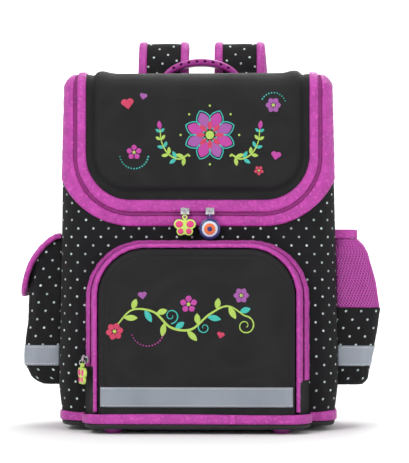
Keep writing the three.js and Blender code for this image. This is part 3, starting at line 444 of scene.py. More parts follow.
def lid_point(x, v, offset):
    """Point over the lid: v is its height on the front, and runs on over the top edge to the hinge."""
    x, v, offset = np.broadcast_arrays(np.asarray(x, float), np.asarray(v, float), np.asarray(offset, float))
    turn = np.clip((v - LID_TURN) / BODY_TOP_EDGE, 0, math.pi / 2)
    past = np.maximum(v - LID_TURN - EDGE_TURN, 0)
    core = np.stack([x, -BODY_DEPTH / 2 + BODY_TOP_EDGE + past, np.minimum(v, LID_TURN)], axis=-1)
    direction = np.stack([np.zeros_like(x), -np.cos(turn), np.sin(turn)], axis=-1)
    return out_to(core, direction, offset)


def moulded_cloth(name, ground):
    """Smooth fine black cloth pressed over foam."""
    finish = Finish(name, ground, 0.62)
    finish.colour(finish.blend(finish.noise(35), tint(ground, 0.85), tint(ground, 1.2)))
    finish.rough(finish.ramp(finish.noise(22, 2), 0.3, 0.7, 0.56, 0.7))
    weave(finish, 0.0008, 0.00007)
    finish.bump(finish.noise(30, 3), 0.25, 0.0012)
    finish.shader.inputs["Sheen Weight"].default_value = 0.03
    finish.shader.inputs["Specular IOR Level"].default_value = 0.3
    return finish.material


MOULDED = moulded_cloth("moulded_black_cloth", (0.0048, 0.0048, 0.0055))
FIELD_SIDE, FIELD_FOOT, FIELD_RISE, FIELD_TOP, FIELD_BUMP, FIELD_SLOPE = 19.3, 24.8, 6.0, 1.3, 2.6, 8.0


def lid_rise(x, v):
    """Height of the lid's moulded relief above its flat border."""
    radius = LID_CORNER - (FIELD_SIDE + FIELD_FOOT) / 2
    inside = inside_corner(np.abs(x) - (LID_HALF - FIELD_SIDE - radius), LID_LOW + FIELD_FOOT + radius - v, radius)
    slope = np.clip(inside / FIELD_SLOPE, 0, 1)
    shape = np.sqrt(np.clip(1 - (1 - slope) ** 2.2, 0, 1)) * np.clip(inside / 1.2, 0, 1)
    fall = np.clip((v - 345) / 30, 0, 1)
    fall = fall * fall * (3 - 2 * fall)
    top = FIELD_TOP + FIELD_BUMP * np.exp(-((np.abs(x) - 101) / 8.5) ** 2)
    hinge = np.clip((LID_END - v) / 40, 0, 1)
    dip = -0.8 * np.exp(-((inside + 1.5) / 1.8) ** 2)
    return shape * (FIELD_RISE * (1 - fall) + top * fall) * (0.4 + 0.6 * hinge) + dip


lid_x, lid_v = np.meshgrid(np.linspace(-126.2, 126.2, 128), np.linspace(LID_LOW + 2, LID_END, 136))
lid_high = lid_rise(lid_x, lid_v)
lid_low_face = lid_point(lid_x, lid_v, -2.6)
lid_top_face = lid_point(lid_x, lid_v, lid_high)
lid_top_face += 0.25 * noise3(lid_top_face, 60, 5)[..., None] * body_normal(lid_top_face)
lid_middle = (lid_x[:-1, :-1] + lid_x[1:, 1:]) / 2, (lid_v[:-1, :-1] + lid_v[1:, 1:]) / 2
lid_keep = lid_inside(*lid_middle) > 3.2
lid = thick_grid("lid", lid_top_face, lid_low_face, MOULDED, keep=lid_keep)
fit(lid, "moulded_fabric", "lid_panel")


# Bands beside the lid's zip: strips of magenta satin cut on the bias, folded and sewn down along both edges.
# The cloth puckers across the strip where the thread draws it in.
def satin(name, ground, deep):
    """Woven satin: a soft shine across the thread, and crinkles from sewing, with painted highlight streaks on the
    crinkles.
    """
    finish = Finish(name, ground, 0.42)
    shade = finish.noise(90, 4)
    cloth = finish.blend(finish.ramp(shade, 0.3, 0.75), (*deep, 1), (*ground, 1))
    crinkle = finish.noise(330, 2)
    # Painted highlight: the crinkles' peaks are coloured lighter, standing in for the shine on them.
    crinkle_painted_highlight = (*(min(1.3 * c + 0.035, 0.9) for c in ground), 1)
    finish.colour(finish.blend(finish.ramp(crinkle, 0.54, 0.68, 0.0, 0.6), cloth, crinkle_painted_highlight))
    finish.rough(finish.ramp(finish.noise(40, 2), 0.3, 0.7, 0.33, 0.5))
    weave(finish, 0.0009, 0.00006)
    finish.bump(finish.noise(130, 4), 0.6, 0.0016)
    finish.bump(crinkle, 0.6, 0.0009)
    finish.shader.inputs["Sheen Weight"].default_value = 0.12
    finish.shader.inputs["Sheen Roughness"].default_value = 0.4
    finish.shader.inputs["Sheen Tint"].default_value = (1.0, 0.72, 0.95, 1)
    return finish.material


SATIN = satin("magenta_satin", (0.52, 0.042, 0.385), (0.36, 0.022, 0.265))


def zip_line(side_inset, foot_inset, step=1.5):
    """Evenly matched points (x, v) of the U-shaped zip line, moved in by the insets."""
    half, low = LID_HALF - side_inset, LID_LOW + foot_inset
    radius = LID_CORNER - (side_inset + foot_inset) / 2
    rows = []
    straight = int((LID_END - LID_LOW - LID_CORNER) / step)
    rows += [(-half, v) for v in np.linspace(LID_END, low + radius, straight, endpoint=False)]
    turn = int(LID_CORNER * math.pi / 2 / step)
    for a in np.linspace(math.pi, 1.5 * math.pi, turn, endpoint=False):
        rows.append((-half + radius + radius * math.cos(a), low + radius + radius * math.sin(a)))
    foot = int(2 * (LID_HALF - LID_CORNER) / step)
    rows += [(x, low) for x in np.linspace(-half + radius, half - radius, foot, endpoint=False)]
    mirrored = [(-x, v) for x, v in rows[:straight + turn]][::-1]
    return np.array(rows + mirrored)


def puckers(along, across, seed, wave=7.0):
    """Crinkles that cross a sewn strip, stronger towards its two seams; across runs from 0 to 1."""
    rng = np.random.default_rng(seed)
    total = np.zeros(np.broadcast(along, across).shape)
    for i in range(14):
        length = wave * rng.uniform(0.55, 2.6)
        skew = rng.uniform(-5, 5)
        swell = 0.5 + 0.5 * np.sin(along / rng.uniform(40, 90) * 2 * math.pi + rng.uniform(0, 6.3))
        total = total + swell * np.sin(2 * math.pi * (along + skew * across) / length + rng.uniform(0, 6.3))
    edge = 0.45 + 0.55 * np.abs(2 * across - 1) ** 1.5
    return total / 3.2 * edge


def strip_lengths(line):
    return np.concatenate([[0], np.cumsum(np.linalg.norm(np.diff(line, axis=0), axis=1))])


def bulge(share, fullness=4):
    """A strip's rounded section: 0 at both seams, and 1 in the middle."""
    return np.sqrt(np.clip(1 - (2 * share - 1) ** fullness, 0, 1))


ZIP_EDGE, BAND_SIDE, BAND_FOOT, BODY_BAND_FOOT = 1.8, 9.5, 13.0, 11.0
BAND_BASE, BAND_FOLD, BAND_THIN = 0.3, 0.5, 0.35


def band_rise(along, share, puff, crinkle, seed, wave=7.0):
    """Height of a folded band above the bag, with its puckers."""
    rounded = bulge(share)
    crease = crinkle * puckers(along, share, seed, wave)
    high = BAND_BASE + BAND_FOLD + (puff - BAND_FOLD) * rounded + crease * (0.35 + 0.65 * rounded)
    return np.maximum(high, BAND_BASE + BAND_THIN)


lid_line = zip_line(ZIP_EDGE + BAND_SIDE, ZIP_EDGE + BAND_FOOT)
share = np.linspace(0, 1, 11)[:, None]
flat = lid_line[None] * (1 - share[..., None]) + zip_line(ZIP_EDGE, ZIP_EDGE)[None] * share[..., None]
along = np.broadcast_to(strip_lengths(lid_line)[None], flat.shape[:2])
lid_faces = [lid_point(*np.moveaxis(flat, -1, 0), high)
             for high in (band_rise(along, share, 2.3, 0.42, 11), BAND_BASE)]
lid_satin = thick_grid("lid_band_satin", *lid_faces, SATIN)
fit(lid_satin, "magenta_satin", "lid_band")


def wrap_point(x, v, turn, offset):
    """Point over the lid's map that leaves the front at an angle, for cloth that turns round the corners."""
    x, v, turn, offset = np.broadcast_arrays(*(np.asarray(a, float) for a in (x, v, turn, offset)))
    bend = np.clip((v - LID_TURN) / BODY_TOP_EDGE, 0, math.pi / 2)
    past = np.maximum(v - LID_TURN - EDGE_TURN, 0)
    low = np.minimum(v, LID_TURN)
    deep = -BODY_DEPTH / 2 + BODY_CORNER
    core_y = np.where(past > 0, np.maximum(deep, -BODY_DEPTH / 2 + BODY_TOP_EDGE + past), deep)
    side = np.sign(x)
    inner = side * np.minimum(np.abs(x), half_width(low) - BODY_CORNER)
    core = np.stack([inner, core_y, low], axis=-1)
    level = np.cos(turn)
    direction = np.stack([side * np.sin(turn), -level * np.cos(bend), level * np.sin(bend)], axis=-1)
    return out_to(core, direction, offset)


# The body's own band: its outer edge turns round the front corners of the bag and ends at the hinge.
line = zip_line(-ZIP_EDGE, -ZIP_EDGE)
BAND_HALF, BAND_LOW = BODY_WIDTH / 2 + 2.3, LID_LOW - ZIP_EDGE - BODY_BAND_FOOT
BAND_CORNER = LID_CORNER + BAND_HALF - LID_HALF
BAND_SETTLE, BAND_FRONT_REACH, STEEPEST = 45.0, 139.0, math.cos(0.16)
zip_centre = np.array([LID_HALF - LID_CORNER, LID_LOW + LID_CORNER])
band_centre = np.array([BAND_HALF - BAND_CORNER, BAND_LOW + BAND_CORNER])
share = np.linspace(0, 1, 13)[:, None]
line_x, line_v = np.abs(line[:, 0]), line[:, 1]
corner_angle = np.arctan2(line_v - zip_centre[1], np.maximum(line_x - zip_centre[0], 1e-6))
corner_angle = np.clip(corner_angle, -math.pi / 2, 0)
level_part = np.clip((line_v - zip_centre[1]) / BAND_SETTLE, 0, 1)
edge_v = np.where(line_v < zip_centre[1], band_centre[1] + BAND_CORNER * np.sin(corner_angle),
                  line_v + (band_centre[1] - zip_centre[1]) * (1 - level_part))
edge_x = np.where(line_x < zip_centre[0], line_x, band_centre[0] + BAND_CORNER * np.cos(corner_angle))
flat_v = line_v[None] * (1 - share) + edge_v[None] * share
flat_side = np.sign(line[:, 0][None])
corner_half = half_width(np.minimum(flat_v, LID_TURN)) - BODY_CORNER
front_x = line_x[None] + share * (edge_x - line_x)[None]


def corner_turn(x, steepest=STEEPEST):
    """The angle at which the body's rounded corner has come to a place x from the middle."""
    return np.arcsin(np.clip((x - corner_half) / BODY_CORNER, 0, steepest))


start_turn, end_turn = corner_turn(line_x[None], 0.95), corner_turn(edge_x[None])
turn = np.where(line_x[None] > corner_half, start_turn + share * (end_turn - start_turn), corner_turn(front_x))
along = np.broadcast_to(strip_lengths(line)[None], flat_v.shape)


def band_face(offset):
    """The band's points: draped on the front at its foot, and turned round the corner at its sides."""
    on_front = lid_point(flat_side * np.minimum(front_x, BAND_FRONT_REACH), flat_v, offset)
    on_corner = wrap_point(flat_side * front_x, flat_v, turn, offset)
    mix = np.clip((front_x - corner_half - 1) / 5, 0, 1)[..., None]
    mixed = on_front * (1 - mix) + on_corner * mix
    return mixed + body_normal(mixed) * (offset - body_distance(mixed))[..., None]


body_satin = thick_grid("body_band_satin", band_face(band_rise(along, share, 2.2, 0.5, 23, 8.0)),
                        band_face(np.full(along.shape, BAND_BASE)), SATIN)
fit(body_satin, "magenta_satin", "body_band")


# Zips: a woven tape with a row of moulded teeth on each side, closed. The teeth are set along the tape by
# Geometry Nodes, and so are the rows of stitches along the lid's bands and the reflective strips.
def plastic(name, colour, roughness, grain=0.0004):
    """Moulded plastic or coil with a fine uneven surface."""
    finish = Finish(name, colour, roughness)
    finish.colour(finish.blend(finish.noise(120, 2), tint(colour, 0.88), tint(colour, 1.1)))
    finish.rough(finish.ramp(finish.noise(60, 3), 0.3, 0.7, roughness * 0.85, roughness * 1.2))
    finish.bump(finish.noise(400, 2), 0.2, grain)
    return finish.material


SATIN_COIL = plastic("satin_coil", (0.40, 0.03, 0.28), 0.3)
# The zip tape's satin is coloured darker than the bands': painted shade for the groove it lies in.
PAINTED_SHADE_SATIN = satin("zip_tape_satin_painted_shade", (0.28, 0.015, 0.19), (0.19, 0.01, 0.13))
PINK_THREAD = plastic("pink_thread", (0.50, 0.10, 0.40), 0.5)


def repeat_tree():
    """Geometry Nodes that set small blocks along a line, each turned to it and to its lift attribute."""
    tree = bpy.data.node_groups.new("set_along_line", "GeometryNodeTree")
    tree.is_modifier = True
    face = tree.interface
    face.new_socket("Geometry", in_out="INPUT", socket_type="NodeSocketGeometry")
    for label, kind in (("Pitch", "Float"), ("Size", "Vector"), ("Material", "Material")):
        face.new_socket(label, in_out="INPUT", socket_type="NodeSocket" + kind)
    face.new_socket("Geometry", in_out="OUTPUT", socket_type="NodeSocketGeometry")
    nodes, links = tree.nodes, tree.links
    start = nodes.new("NodeGroupInput")
    curve = nodes.new("GeometryNodeMeshToCurve")
    links.new(start.outputs["Geometry"], curve.inputs[0])
    spaced = nodes.new("GeometryNodeResampleCurve")
    spaced.mode = "LENGTH"
    links.new(curve.outputs[0], spaced.inputs["Curve"])
    links.new(start.outputs["Pitch"], spaced.inputs["Length"])
    tangent = nodes.new("GeometryNodeInputTangent")
    lifted = nodes.new("GeometryNodeInputNamedAttribute")
    lifted.data_type = "FLOAT_VECTOR"
    lifted.inputs["Name"].default_value = "lift"
    turned = nodes.new("FunctionNodeAxesToRotation")
    turned.primary_axis, turned.secondary_axis = "Z", "X"
    links.new(lifted.outputs[0], turned.inputs[0])
    links.new(tangent.outputs[0], turned.inputs[1])
    block = nodes.new("GeometryNodeMeshCube")
    links.new(start.outputs["Size"], block.inputs["Size"])
    for side in ("Vertices X", "Vertices Y", "Vertices Z"):
        block.inputs[side].default_value = 2
    soft = nodes.new("GeometryNodeSubdivisionSurface")
    soft.inputs["Level"].default_value = 1
    links.new(block.outputs["Mesh"], soft.inputs["Mesh"])
    placed = nodes.new("GeometryNodeInstanceOnPoints")
    links.new(spaced.outputs[0], placed.inputs["Points"])
    links.new(soft.outputs[0], placed.inputs["Instance"])
    links.new(turned.outputs[0], placed.inputs["Rotation"])
    real = nodes.new("GeometryNodeRealizeInstances")
    links.new(placed.outputs[0], real.inputs[0])
    painted = nodes.new("GeometryNodeSetMaterial")
    links.new(real.outputs[0], painted.inputs["Geometry"])
    links.new(start.outputs["Material"], painted.inputs["Material"])
    end = nodes.new("NodeGroupOutput")
    links.new(painted.outputs[0], end.inputs[0])
    return tree


SET_ALONG = repeat_tree()


def evaluated_mesh(piece):
    """A plain mesh of the piece with its modifiers applied."""
    return bpy.data.meshes.new_from_object(piece.evaluated_get(bpy.context.evaluated_depsgraph_get()))


def small_blocks(name, runs, pitch, size, material):
    """One mesh of small rounded blocks set along runs of (points, directions), in millimetres."""
    points, lifts, edges = [], [], []
    for run, lift in runs:
        first = len(points)
        points += ((np.asarray(run) + SHIFT) * MM).tolist()
        lifts += np.asarray(lift).tolist()
        edges += [(i, i + 1) for i in range(first, len(points) - 1)]
    guide_mesh = bpy.data.meshes.new(name + "_guide")
    guide_mesh.from_pydata(points, edges, [])
    guide_mesh.attributes.new("lift", "FLOAT_VECTOR", "POINT").data.foreach_set("vector", np.ravel(lifts))
    guide = new_object(name + "_guide", guide_mesh)
    setter = guide.modifiers.new("set_along_line", "NODES")
    setter.node_group = SET_ALONG
    values = {"Pitch": pitch * MM, "Size": [s * MM for s in size], "Material": material}
    for item in SET_ALONG.interface.items_tree:
        if item.in_out == "INPUT" and item.name in values:
            setter[item.identifier] = values[item.name]
    bpy.context.view_layer.update()
    mesh = evaluated_mesh(guide)
    bpy.data.objects.remove(guide)
    return finished(name, mesh, material)


def on_lid(line, high):
    """A run on the lid's map as its points and their outward directions."""
    points = lid_point(line[:, 0], line[:, 1], high)
    return points, body_normal(points)


TAPE_HALF, TEETH_PITCH, TEETH_SIZE = 1.75, 1.9, (1.25, 1.7, 1.3)
tape_lines = np.linspace(zip_line(TAPE_HALF, TAPE_HALF), zip_line(-TAPE_HALF, -TAPE_HALF), 5)
tape_faces = [lid_point(*np.moveaxis(tape_lines, -1, 0), offset) for offset in (0.2, -1.0)]
fit(thick_grid("lid_zip_tape", *tape_faces, PAINTED_SHADE_SATIN), "zip", "lid_zip")
for side, inset in (("inner", 0.62), ("outer", -0.62)):
    fit(small_blocks("lid_zip_teeth_" + side, [on_lid(zip_line(inset, inset), 0.55)], TEETH_PITCH, TEETH_SIZE,
                     SATIN_COIL), "zip")
STITCH_PITCH, STITCH_SIZE = 3.1, (2.2, 0.5, 0.42)
band_seams = [on_lid(zip_line(ZIP_EDGE + 1.7, ZIP_EDGE + 1.7), BAND_BASE + 1.95),
              on_lid(zip_line(ZIP_EDGE + BAND_SIDE - 1.5, ZIP_EDGE + BAND_FOOT - 1.5), BAND_BASE + 1.9)]
fit(small_blocks("lid_band_stitches", band_seams, STITCH_PITCH, STITCH_SIZE, PINK_THREAD), "magenta_satin")


# Front pocket: a moulded black front with an arched top, a satin piping sewn round its edge, and a satin
# gusset with the pocket's zip. Below the ends of the zip the gusset is plain black cloth.
POCKET_HALF, POCKET_HIGH, POCKET_CORNER, POCKET_DEEP = 104.5, 193.8, 52.0, 32.0
POCKET_FRONT = -BODY_DEPTH / 2 - POCKET_DEEP
PANEL_BACK = POCKET_FRONT - 0.3
PANEL_THICK, PANEL_CROWN, PANEL_INSET, PIPING = 3.0, 5.0, 3.0, 2.0
FLARE_SIDE, FLARE_TOP = 12.5, 5.5


def arch(side, top, low=BODY_LOW, step=2.0):
    """Points (x, z) up, over and down the arched outline of the pocket, grown by side and top."""
    half, high = POCKET_HALF + side, POCKET_HIGH + top
    radius = POCKET_CORNER + (side + top) / 2
    up = int((POCKET_HIGH - POCKET_CORNER - BODY_LOW) / step)
    turn = int(POCKET_CORNER * math.pi / 2 / step)
    over = int((POCKET_HALF - POCKET_CORNER) / step)
    rows = [(-half, z) for z in np.linspace(low, high - radius, up, endpoint=False)]
    for a in np.linspace(math.pi, math.pi / 2, turn, endpoint=False):
        rows.append((-half + radius + radius * math.cos(a), high - radius + radius * math.sin(a)))
    rows += [(x, high) for x in np.linspace(-half + radius, 0, over, endpoint=False)]
    return np.array(rows + [(0.0, high)] + [(-x, z) for x, z in rows[::-1]])


def arch_inside(x, z, grow):
    """How far a point lies inside the arched outline grown by grow; its foot is open."""
    return inside_corner(np.abs(x) - (POCKET_HALF - POCKET_CORNER), z - (POCKET_HIGH - POCKET_CORNER),
                         POCKET_CORNER + grow)


def panel_rise(x, z):
    """How far the pocket's moulded front stands before its rear face."""
    inside = np.maximum(arch_inside(x, z, -PANEL_INSET), 0)
    rim = np.clip(inside / 13.0, 0, 1)
    rise = PANEL_THICK * np.clip(inside / 0.8, 0, 1) ** 0.5 + PANEL_CROWN * (1 - (1 - rim) ** 2.6)
    groove = 0.9 * np.exp(-((inside - 7.5) / 1.1) ** 2)
    sag = 0.5 * np.cos(x / POCKET_HALF * 1.4) * np.sin((z - BODY_LOW) / 180 * math.pi)
    return rise - groove + sag


def panel_front(x, z, high):
    """Points over the pocket's moulded front, which draws back a little at its foot."""
    foot = 0.62 + 0.38 * np.clip((z - BODY_LOW) / 5, 0, 1) ** 0.5
    return np.stack([x, PANEL_BACK - panel_rise(x, z) * foot - high, z], axis=-1)


outline = arch(-PANEL_INSET, -PANEL_INSET, BODY_LOW, 1.8)
low_edge = np.linspace(outline[-1], outline[0], 80, endpoint=False)
outline = np.vstack([outline, low_edge[1:]])
middle = np.array([0.0, 92.0])
scales = np.concatenate([1 - np.linspace(0, 0.012, 4), 1 - np.linspace(0.022, 0.16, 14),
                         np.linspace(0.8, 0.0, 20)])
rings = middle + (outline - middle)[None] * scales[:, None, None]
px, pz = rings[..., 0], rings[..., 1]
front = panel_front(px, pz, 0)
front[..., 1] += 0.3 * noise3(front, 70, 17)
back = np.stack([px, np.full_like(px, PANEL_BACK), pz], axis=-1)
panel = thick_grid("front_pocket_panel_cloth", front, back, MOULDED, wrap=True)
fit(panel, "moulded_fabric", "front_pocket_panel")

# The piping is a cord in a folded strip of satin, gathered a little where it bends.
PIPING_LOW = 22.8
pipe_line = arch(0, 0, PIPING_LOW, 1.3)
pipe_run = np.column_stack([pipe_line[:, 0], np.full(len(pipe_line), PANEL_BACK - PIPING), pipe_line[:, 1]])
pipe_along = strip_lengths(pipe_line)
way = np.gradient(pipe_run, axis=0)
way /= np.linalg.norm(way, axis=1, keepdims=True)
forward = np.array([0.0, -1.0, 0.0])
sideways = np.cross(way, forward)
turns = np.linspace(0, 2 * math.pi, 13)[:-1]
radius = PIPING + 0.1 + 0.13 * np.sin(pipe_along / 1.9 + 2 * np.sin(pipe_along / 23))[:, None]
tube = pipe_run[:, None] + radius[..., None] * (np.cos(turns)[None, :, None] * sideways[:, None]
                                                + np.sin(turns)[None, :, None] * forward)


def closed_tube(name, rows, material):
    """A tube from rings of points, closed at both ends."""
    count, sides = rows.shape[:2]
    faces = [[r * sides + c, r * sides + (c + 1) % sides, (r + 1) * sides + (c + 1) % sides, (r + 1) * sides + c]
             for r in range(count - 1) for c in range(sides)]
    faces += [list(range(sides))[::-1], list(range((count - 1) * sides, count * sides))]
    return mesh_piece(name, rows.reshape(-1, 3), faces, material)


fit(closed_tube("front_pocket_piping_satin", tube, SATIN), "magenta_satin", "front_pocket_piping")

# The gusset flares out towards the body. Its zip runs down its middle, and stops short of the base.
ZIP_END_LEFT, ZIP_END_RIGHT, GUSSET_WALL = 68.8, 53.8, 2.0
gusset_share = np.linspace(0, 1, 15)


def gusset(high):
    """The pocket's side wall as a grid, raised by high; its last row meets the body."""
    rows = []
    for part in gusset_share:
        flat = arch(FLARE_SIDE * part, FLARE_TOP * part)
        y = np.full(len(flat), POCKET_FRONT + part * POCKET_DEEP)
        rows.append(np.column_stack([flat[:, 0], y, flat[:, 1]]))
    grid = np.array(rows)
    across = np.gradient(grid, axis=0)
    run = np.gradient(grid, axis=1)
    normal = np.cross(across, run)
    normal /= np.linalg.norm(normal, axis=-1, keepdims=True)
    outwards = normal[..., 0] * grid[..., 0] + normal[..., 2] * np.maximum(grid[..., 2] - 130, 0)
    normal *= np.sign(outwards)[..., None]
    return grid + normal * np.asarray(high)[..., None], normal


flat, gusset_normal = gusset(np.zeros(1))
gusset_along = np.broadcast_to(strip_lengths(arch(0, 0))[None], flat.shape[:2])
gusset_across = np.broadcast_to(gusset_share[:, None], flat.shape[:2])
beside_zip = np.abs(gusset_across - 0.5)
crinkled = 1.1 * bulge(2 * beside_zip, 2) - 0.3 + 0.45 * puckers(gusset_along, gusset_across, 31, 9.0)
crinkled = np.where(beside_zip < 0.09, -0.7, np.clip(crinkled, -0.6, 1.5))
zip_ends = np.where(flat[..., 0] < 0, ZIP_END_LEFT, ZIP_END_RIGHT)
is_band = flat[..., 2] >= zip_ends - 1.0
plain = 0.5 * noise3(flat, 30, 41) + 0.7 * np.sin(np.pi * gusset_across)
gusset_outer, _ = gusset(np.where(is_band, crinkled, plain))
gusset_inner, _ = gusset(np.full(flat.shape[:2], -GUSSET_WALL))
quad_band = is_band[:-1, :-1] & is_band[1:, 1:] & is_band[:-1, 1:] & is_band[1:, :-1]
gusset_uv = np.stack([gusset_across * 35, gusset_along], axis=-1)
fit(thick_grid("front_pocket_satin", gusset_outer, gusset_inner, SATIN, gusset_uv, keep=quad_band),
    "magenta_satin", "front_pocket_zip_band")
on_left = (flat[:-1, :-1, 0] < 0)
for label, node, keep in (("left", "front_pocket_side_left", ~quad_band & on_left),
                          ("right", "front_pocket_side_right", ~quad_band & ~on_left)):
    fit(thick_grid("front_pocket_end_" + label, gusset_outer, gusset_inner, MOULDED, gusset_uv, keep=keep),
        "dotted_fabric", node)

coil_flat = arch(FLARE_SIDE / 2, FLARE_TOP / 2)
coil_keep = coil_flat[:, 1] > np.where(coil_flat[:, 0] < 0, ZIP_END_LEFT, ZIP_END_RIGHT)
coil_y = np.full(len(coil_flat), POCKET_FRONT + POCKET_DEEP / 2)
coil_run = np.column_stack([coil_flat[:, 0], coil_y, coil_flat[:, 1]])
coil_normal = gusset_normal[len(gusset_share) // 2]
coil_foot, coil_top = ((coil_run + coil_normal * high)[coil_keep] for high in (0.0, 1.1))
to_body = np.array([0.0, 1.0, 0.0])
pocket_tape = thick_grid("front_pocket_zip_tape", *(np.array([row + to_body * s for s in (-2.4, 0, 2.4)])
                                                    for row in (coil_top, coil_foot)), SATIN)
fit(pocket_tape, "pocket_zip", "front_pocket_zip")
coil_runs = [(coil_top + to_body * s, coil_normal[coil_keep]) for s in (-0.75, 0.75)]
fit(small_blocks("front_pocket_zip_coil", coil_runs, 1.5, (1.0, 1.7, 1.2), SATIN_COIL), "pocket_zip")


# Reflective strips: grey tape faced with fine glass beads. One is sewn flat across the front pocket and one
# round each side pocket, with a row of white stitches along each edge.
def reflective(name):
    finish = Finish(name, (0.25, 0.275, 0.32), 0.38)
    finish.colour(finish.blend(finish.noise(25), (0.205, 0.228, 0.262, 1), (0.30, 0.328, 0.375, 1)))
    finish.rough(finish.ramp(finish.noise(60), 0.3, 0.7, 0.3, 0.48))
    finish.bump(finish.noise(900, 1), 0.25, 0.0002)
    finish.bump(finish.noise(40, 3), 0.3, 0.0008)
    finish.shader.inputs["Metallic"].default_value = 0.25
    return finish.material


REFLECTIVE = reflective("grey_reflective_tape")
WHITE_THREAD = plastic("white_thread", (0.82, 0.84, 0.86), 0.6)
REFLECTOR_LOW, REFLECTOR_HIGH, REFLECTOR_HALF = 28.3, 48.8, 99.0


rx, rz = np.meshgrid(np.linspace(-REFLECTOR_HALF, REFLECTOR_HALF, 150),
                     np.linspace(REFLECTOR_LOW, REFLECTOR_HIGH, 10))
TAPE_STITCH_PITCH, TAPE_STITCH = 2.9, (2.1, 0.55, 0.45)
tape_edge = 0.35 * np.sin(np.pi * (rz - REFLECTOR_LOW) / (REFLECTOR_HIGH - REFLECTOR_LOW))
tape_wave = 0.22 * noise3(np.stack([rx, rz * 0, rz], axis=-1), 26, 51)
front_tape = thick_grid("front_reflector_tape", panel_front(rx, rz, 0.75 + tape_edge + tape_wave),
                        panel_front(rx, rz, 0.1), REFLECTIVE)
fit(front_tape, "reflective_tape", "front_reflector")
tape_runs = []
for z in (REFLECTOR_LOW + 1.6, REFLECTOR_HIGH - 1.6):
    stitch_x = np.linspace(-REFLECTOR_HALF + 1, REFLECTOR_HALF - 1, 90)
    tape_runs.append((panel_front(stitch_x, np.full(90, z), 1.0), np.tile(forward, (90, 1))))
fit(small_blocks("front_reflector_stitches", tape_runs, TAPE_STITCH_PITCH, TAPE_STITCH, WHITE_THREAD),
    "reflective_tape")


# Base: a stiff black board under the body and the front pocket. A satin binding is sewn round its edge, with
# its end lapped on the front, and four feet of moulded magenta plastic are screwed under it.
BASE_LOW, BASE_THICK, BINDING_HIGH, BINDING = 5.3, 5.2, 20.8, 2.0
BASE_CORNER = 24.0
PANEL_FRONT = PANEL_BACK - PANEL_THICK - PANEL_CROWN
base_half = float(half_width(BINDING_HIGH))
base_deep = float(half_depth(BINDING_HIGH))
base_bulge = POCKET_HALF + FLARE_SIDE


def base_outline(grow, samples=420):
    """The base from above: the body's rounded foot with the front pocket's bulge before it."""
    corner, wide, front = BASE_CORNER + grow, base_bulge + grow, PANEL_FRONT - grow
    x, y = base_half + grow, base_deep + grow
    points = []

    def arc(cx, cy, radius, start, end, steps=10):
        for a in np.radians(np.linspace(start, end, steps)):
            points.append((cx + radius * math.cos(a), cy + radius * math.sin(a)))

    arc(-x + corner, y - corner, corner, 90, 180)
    reach = -x + corner
    a = math.degrees(math.acos(np.clip((wide + reach) / corner, -1, 1)))
    arc(reach, -y + corner, corner, 180, 180 + a)
    arc(-wide + corner, front + corner, corner, 180, 270)
    points += [(-px, py) for px, py in points[::-1]]
    points = np.array(points + [points[0]])
    run = strip_lengths(points)
    at = np.linspace(0, run[-1], samples, endpoint=False)
    return np.column_stack([np.interp(at, run, points[:, 0]), np.interp(at, run, points[:, 1])]), at


binding_inner, _ = base_outline(0.3)
binding_outer, binding_at = base_outline(0.3 + BINDING)
ring_share = np.linspace(0, 1, 11)[:, None]
binding_crease = 0.42 * puckers(np.broadcast_to(binding_at[None], (11, len(binding_at))), ring_share, 61, 8.0)
thick = 0.35 + (0.65 + binding_crease / BINDING) * bulge(ring_share)
binding_xy = binding_inner[None] + (binding_outer - binding_inner)[None] * np.clip(thick, 0.25, 1.35)[..., None]
binding_dip = 0.9 * np.exp(-((np.abs(binding_xy[..., 0]) - 125) / 9) ** 2)
binding_z = BODY_LOW + (BINDING_HIGH - BODY_LOW) * ring_share - binding_dip
binding_z += 0.5 * np.sin(binding_at / 37.0)[None] * ring_share
binding_face = np.concatenate([binding_xy, np.maximum(binding_z, BODY_LOW)[..., None]], axis=-1)
binding_back = np.concatenate([np.broadcast_to(binding_inner[None], binding_xy.shape), binding_face[..., 2:]],
                              axis=-1)
fit(thick_grid("base_binding_satin", binding_face, binding_back, SATIN, wrap=True), "magenta_satin",
    "base_binding")

LAP_MIDDLE, LAP_WIDTH = 37.0, 6.0
lap_x, lap_z = np.meshgrid(np.linspace(LAP_MIDDLE - LAP_WIDTH / 2, LAP_MIDDLE + LAP_WIDTH / 2, 8),
                           np.linspace(BODY_LOW + 0.3, BINDING_HIGH - 0.3, 12))
lap_share = (lap_z - BODY_LOW) / (BINDING_HIGH - BODY_LOW)
lap_back = PANEL_FRONT - 2.6
lap_bulge = 0.5 + 0.6 * bulge(lap_share) + 0.12 * np.sin(lap_z * 1.3)
lap = thick_grid("base_binding_end", np.stack([lap_x, lap_back - lap_bulge, lap_z], axis=-1),
                 np.stack([lap_x, np.full_like(lap_x, lap_back), lap_z], axis=-1), SATIN)
fit(lap, "magenta_satin", "base_binding_lap")

base_rows = []
for z, inset in [(BASE_LOW, 60), (BASE_LOW, 30), (BASE_LOW, 3), (BASE_LOW + 0.9, 1), (BASE_LOW + 3, 0),
                 (BASE_LOW + BASE_THICK, 0), (BASE_LOW + BASE_THICK, 6), (BASE_LOW + BASE_THICK, 60)]:
    if inset > 24:
        flat, _ = base_outline(-3)
        flat = np.array([0, -20]) + (flat - np.array([0, -20])) * (1 - inset / 75)
    else:
        flat, _ = base_outline(-inset)
    base_rows.append(np.column_stack([flat, np.full(len(flat), z)]))
BOARD = plastic("black_base_board", (0.006, 0.006, 0.0065), 0.55, 0.0003)
fit(closed_tube("base_board", np.array(base_rows), BOARD), "black_plastic", "base_panel")


def turned(name, centre, profile, material, sides=40):
    """A round piece with its profile (radius, height) turned about an upright line."""
    around = np.linspace(0, 2 * math.pi, sides, endpoint=False)
    rows = [np.column_stack([centre[0] + radius * np.cos(around), centre[1] + radius * np.sin(around),
                             np.full(sides, centre[2] + high)]) for radius, high in profile]
    return closed_tube(name, np.array(rows), material)


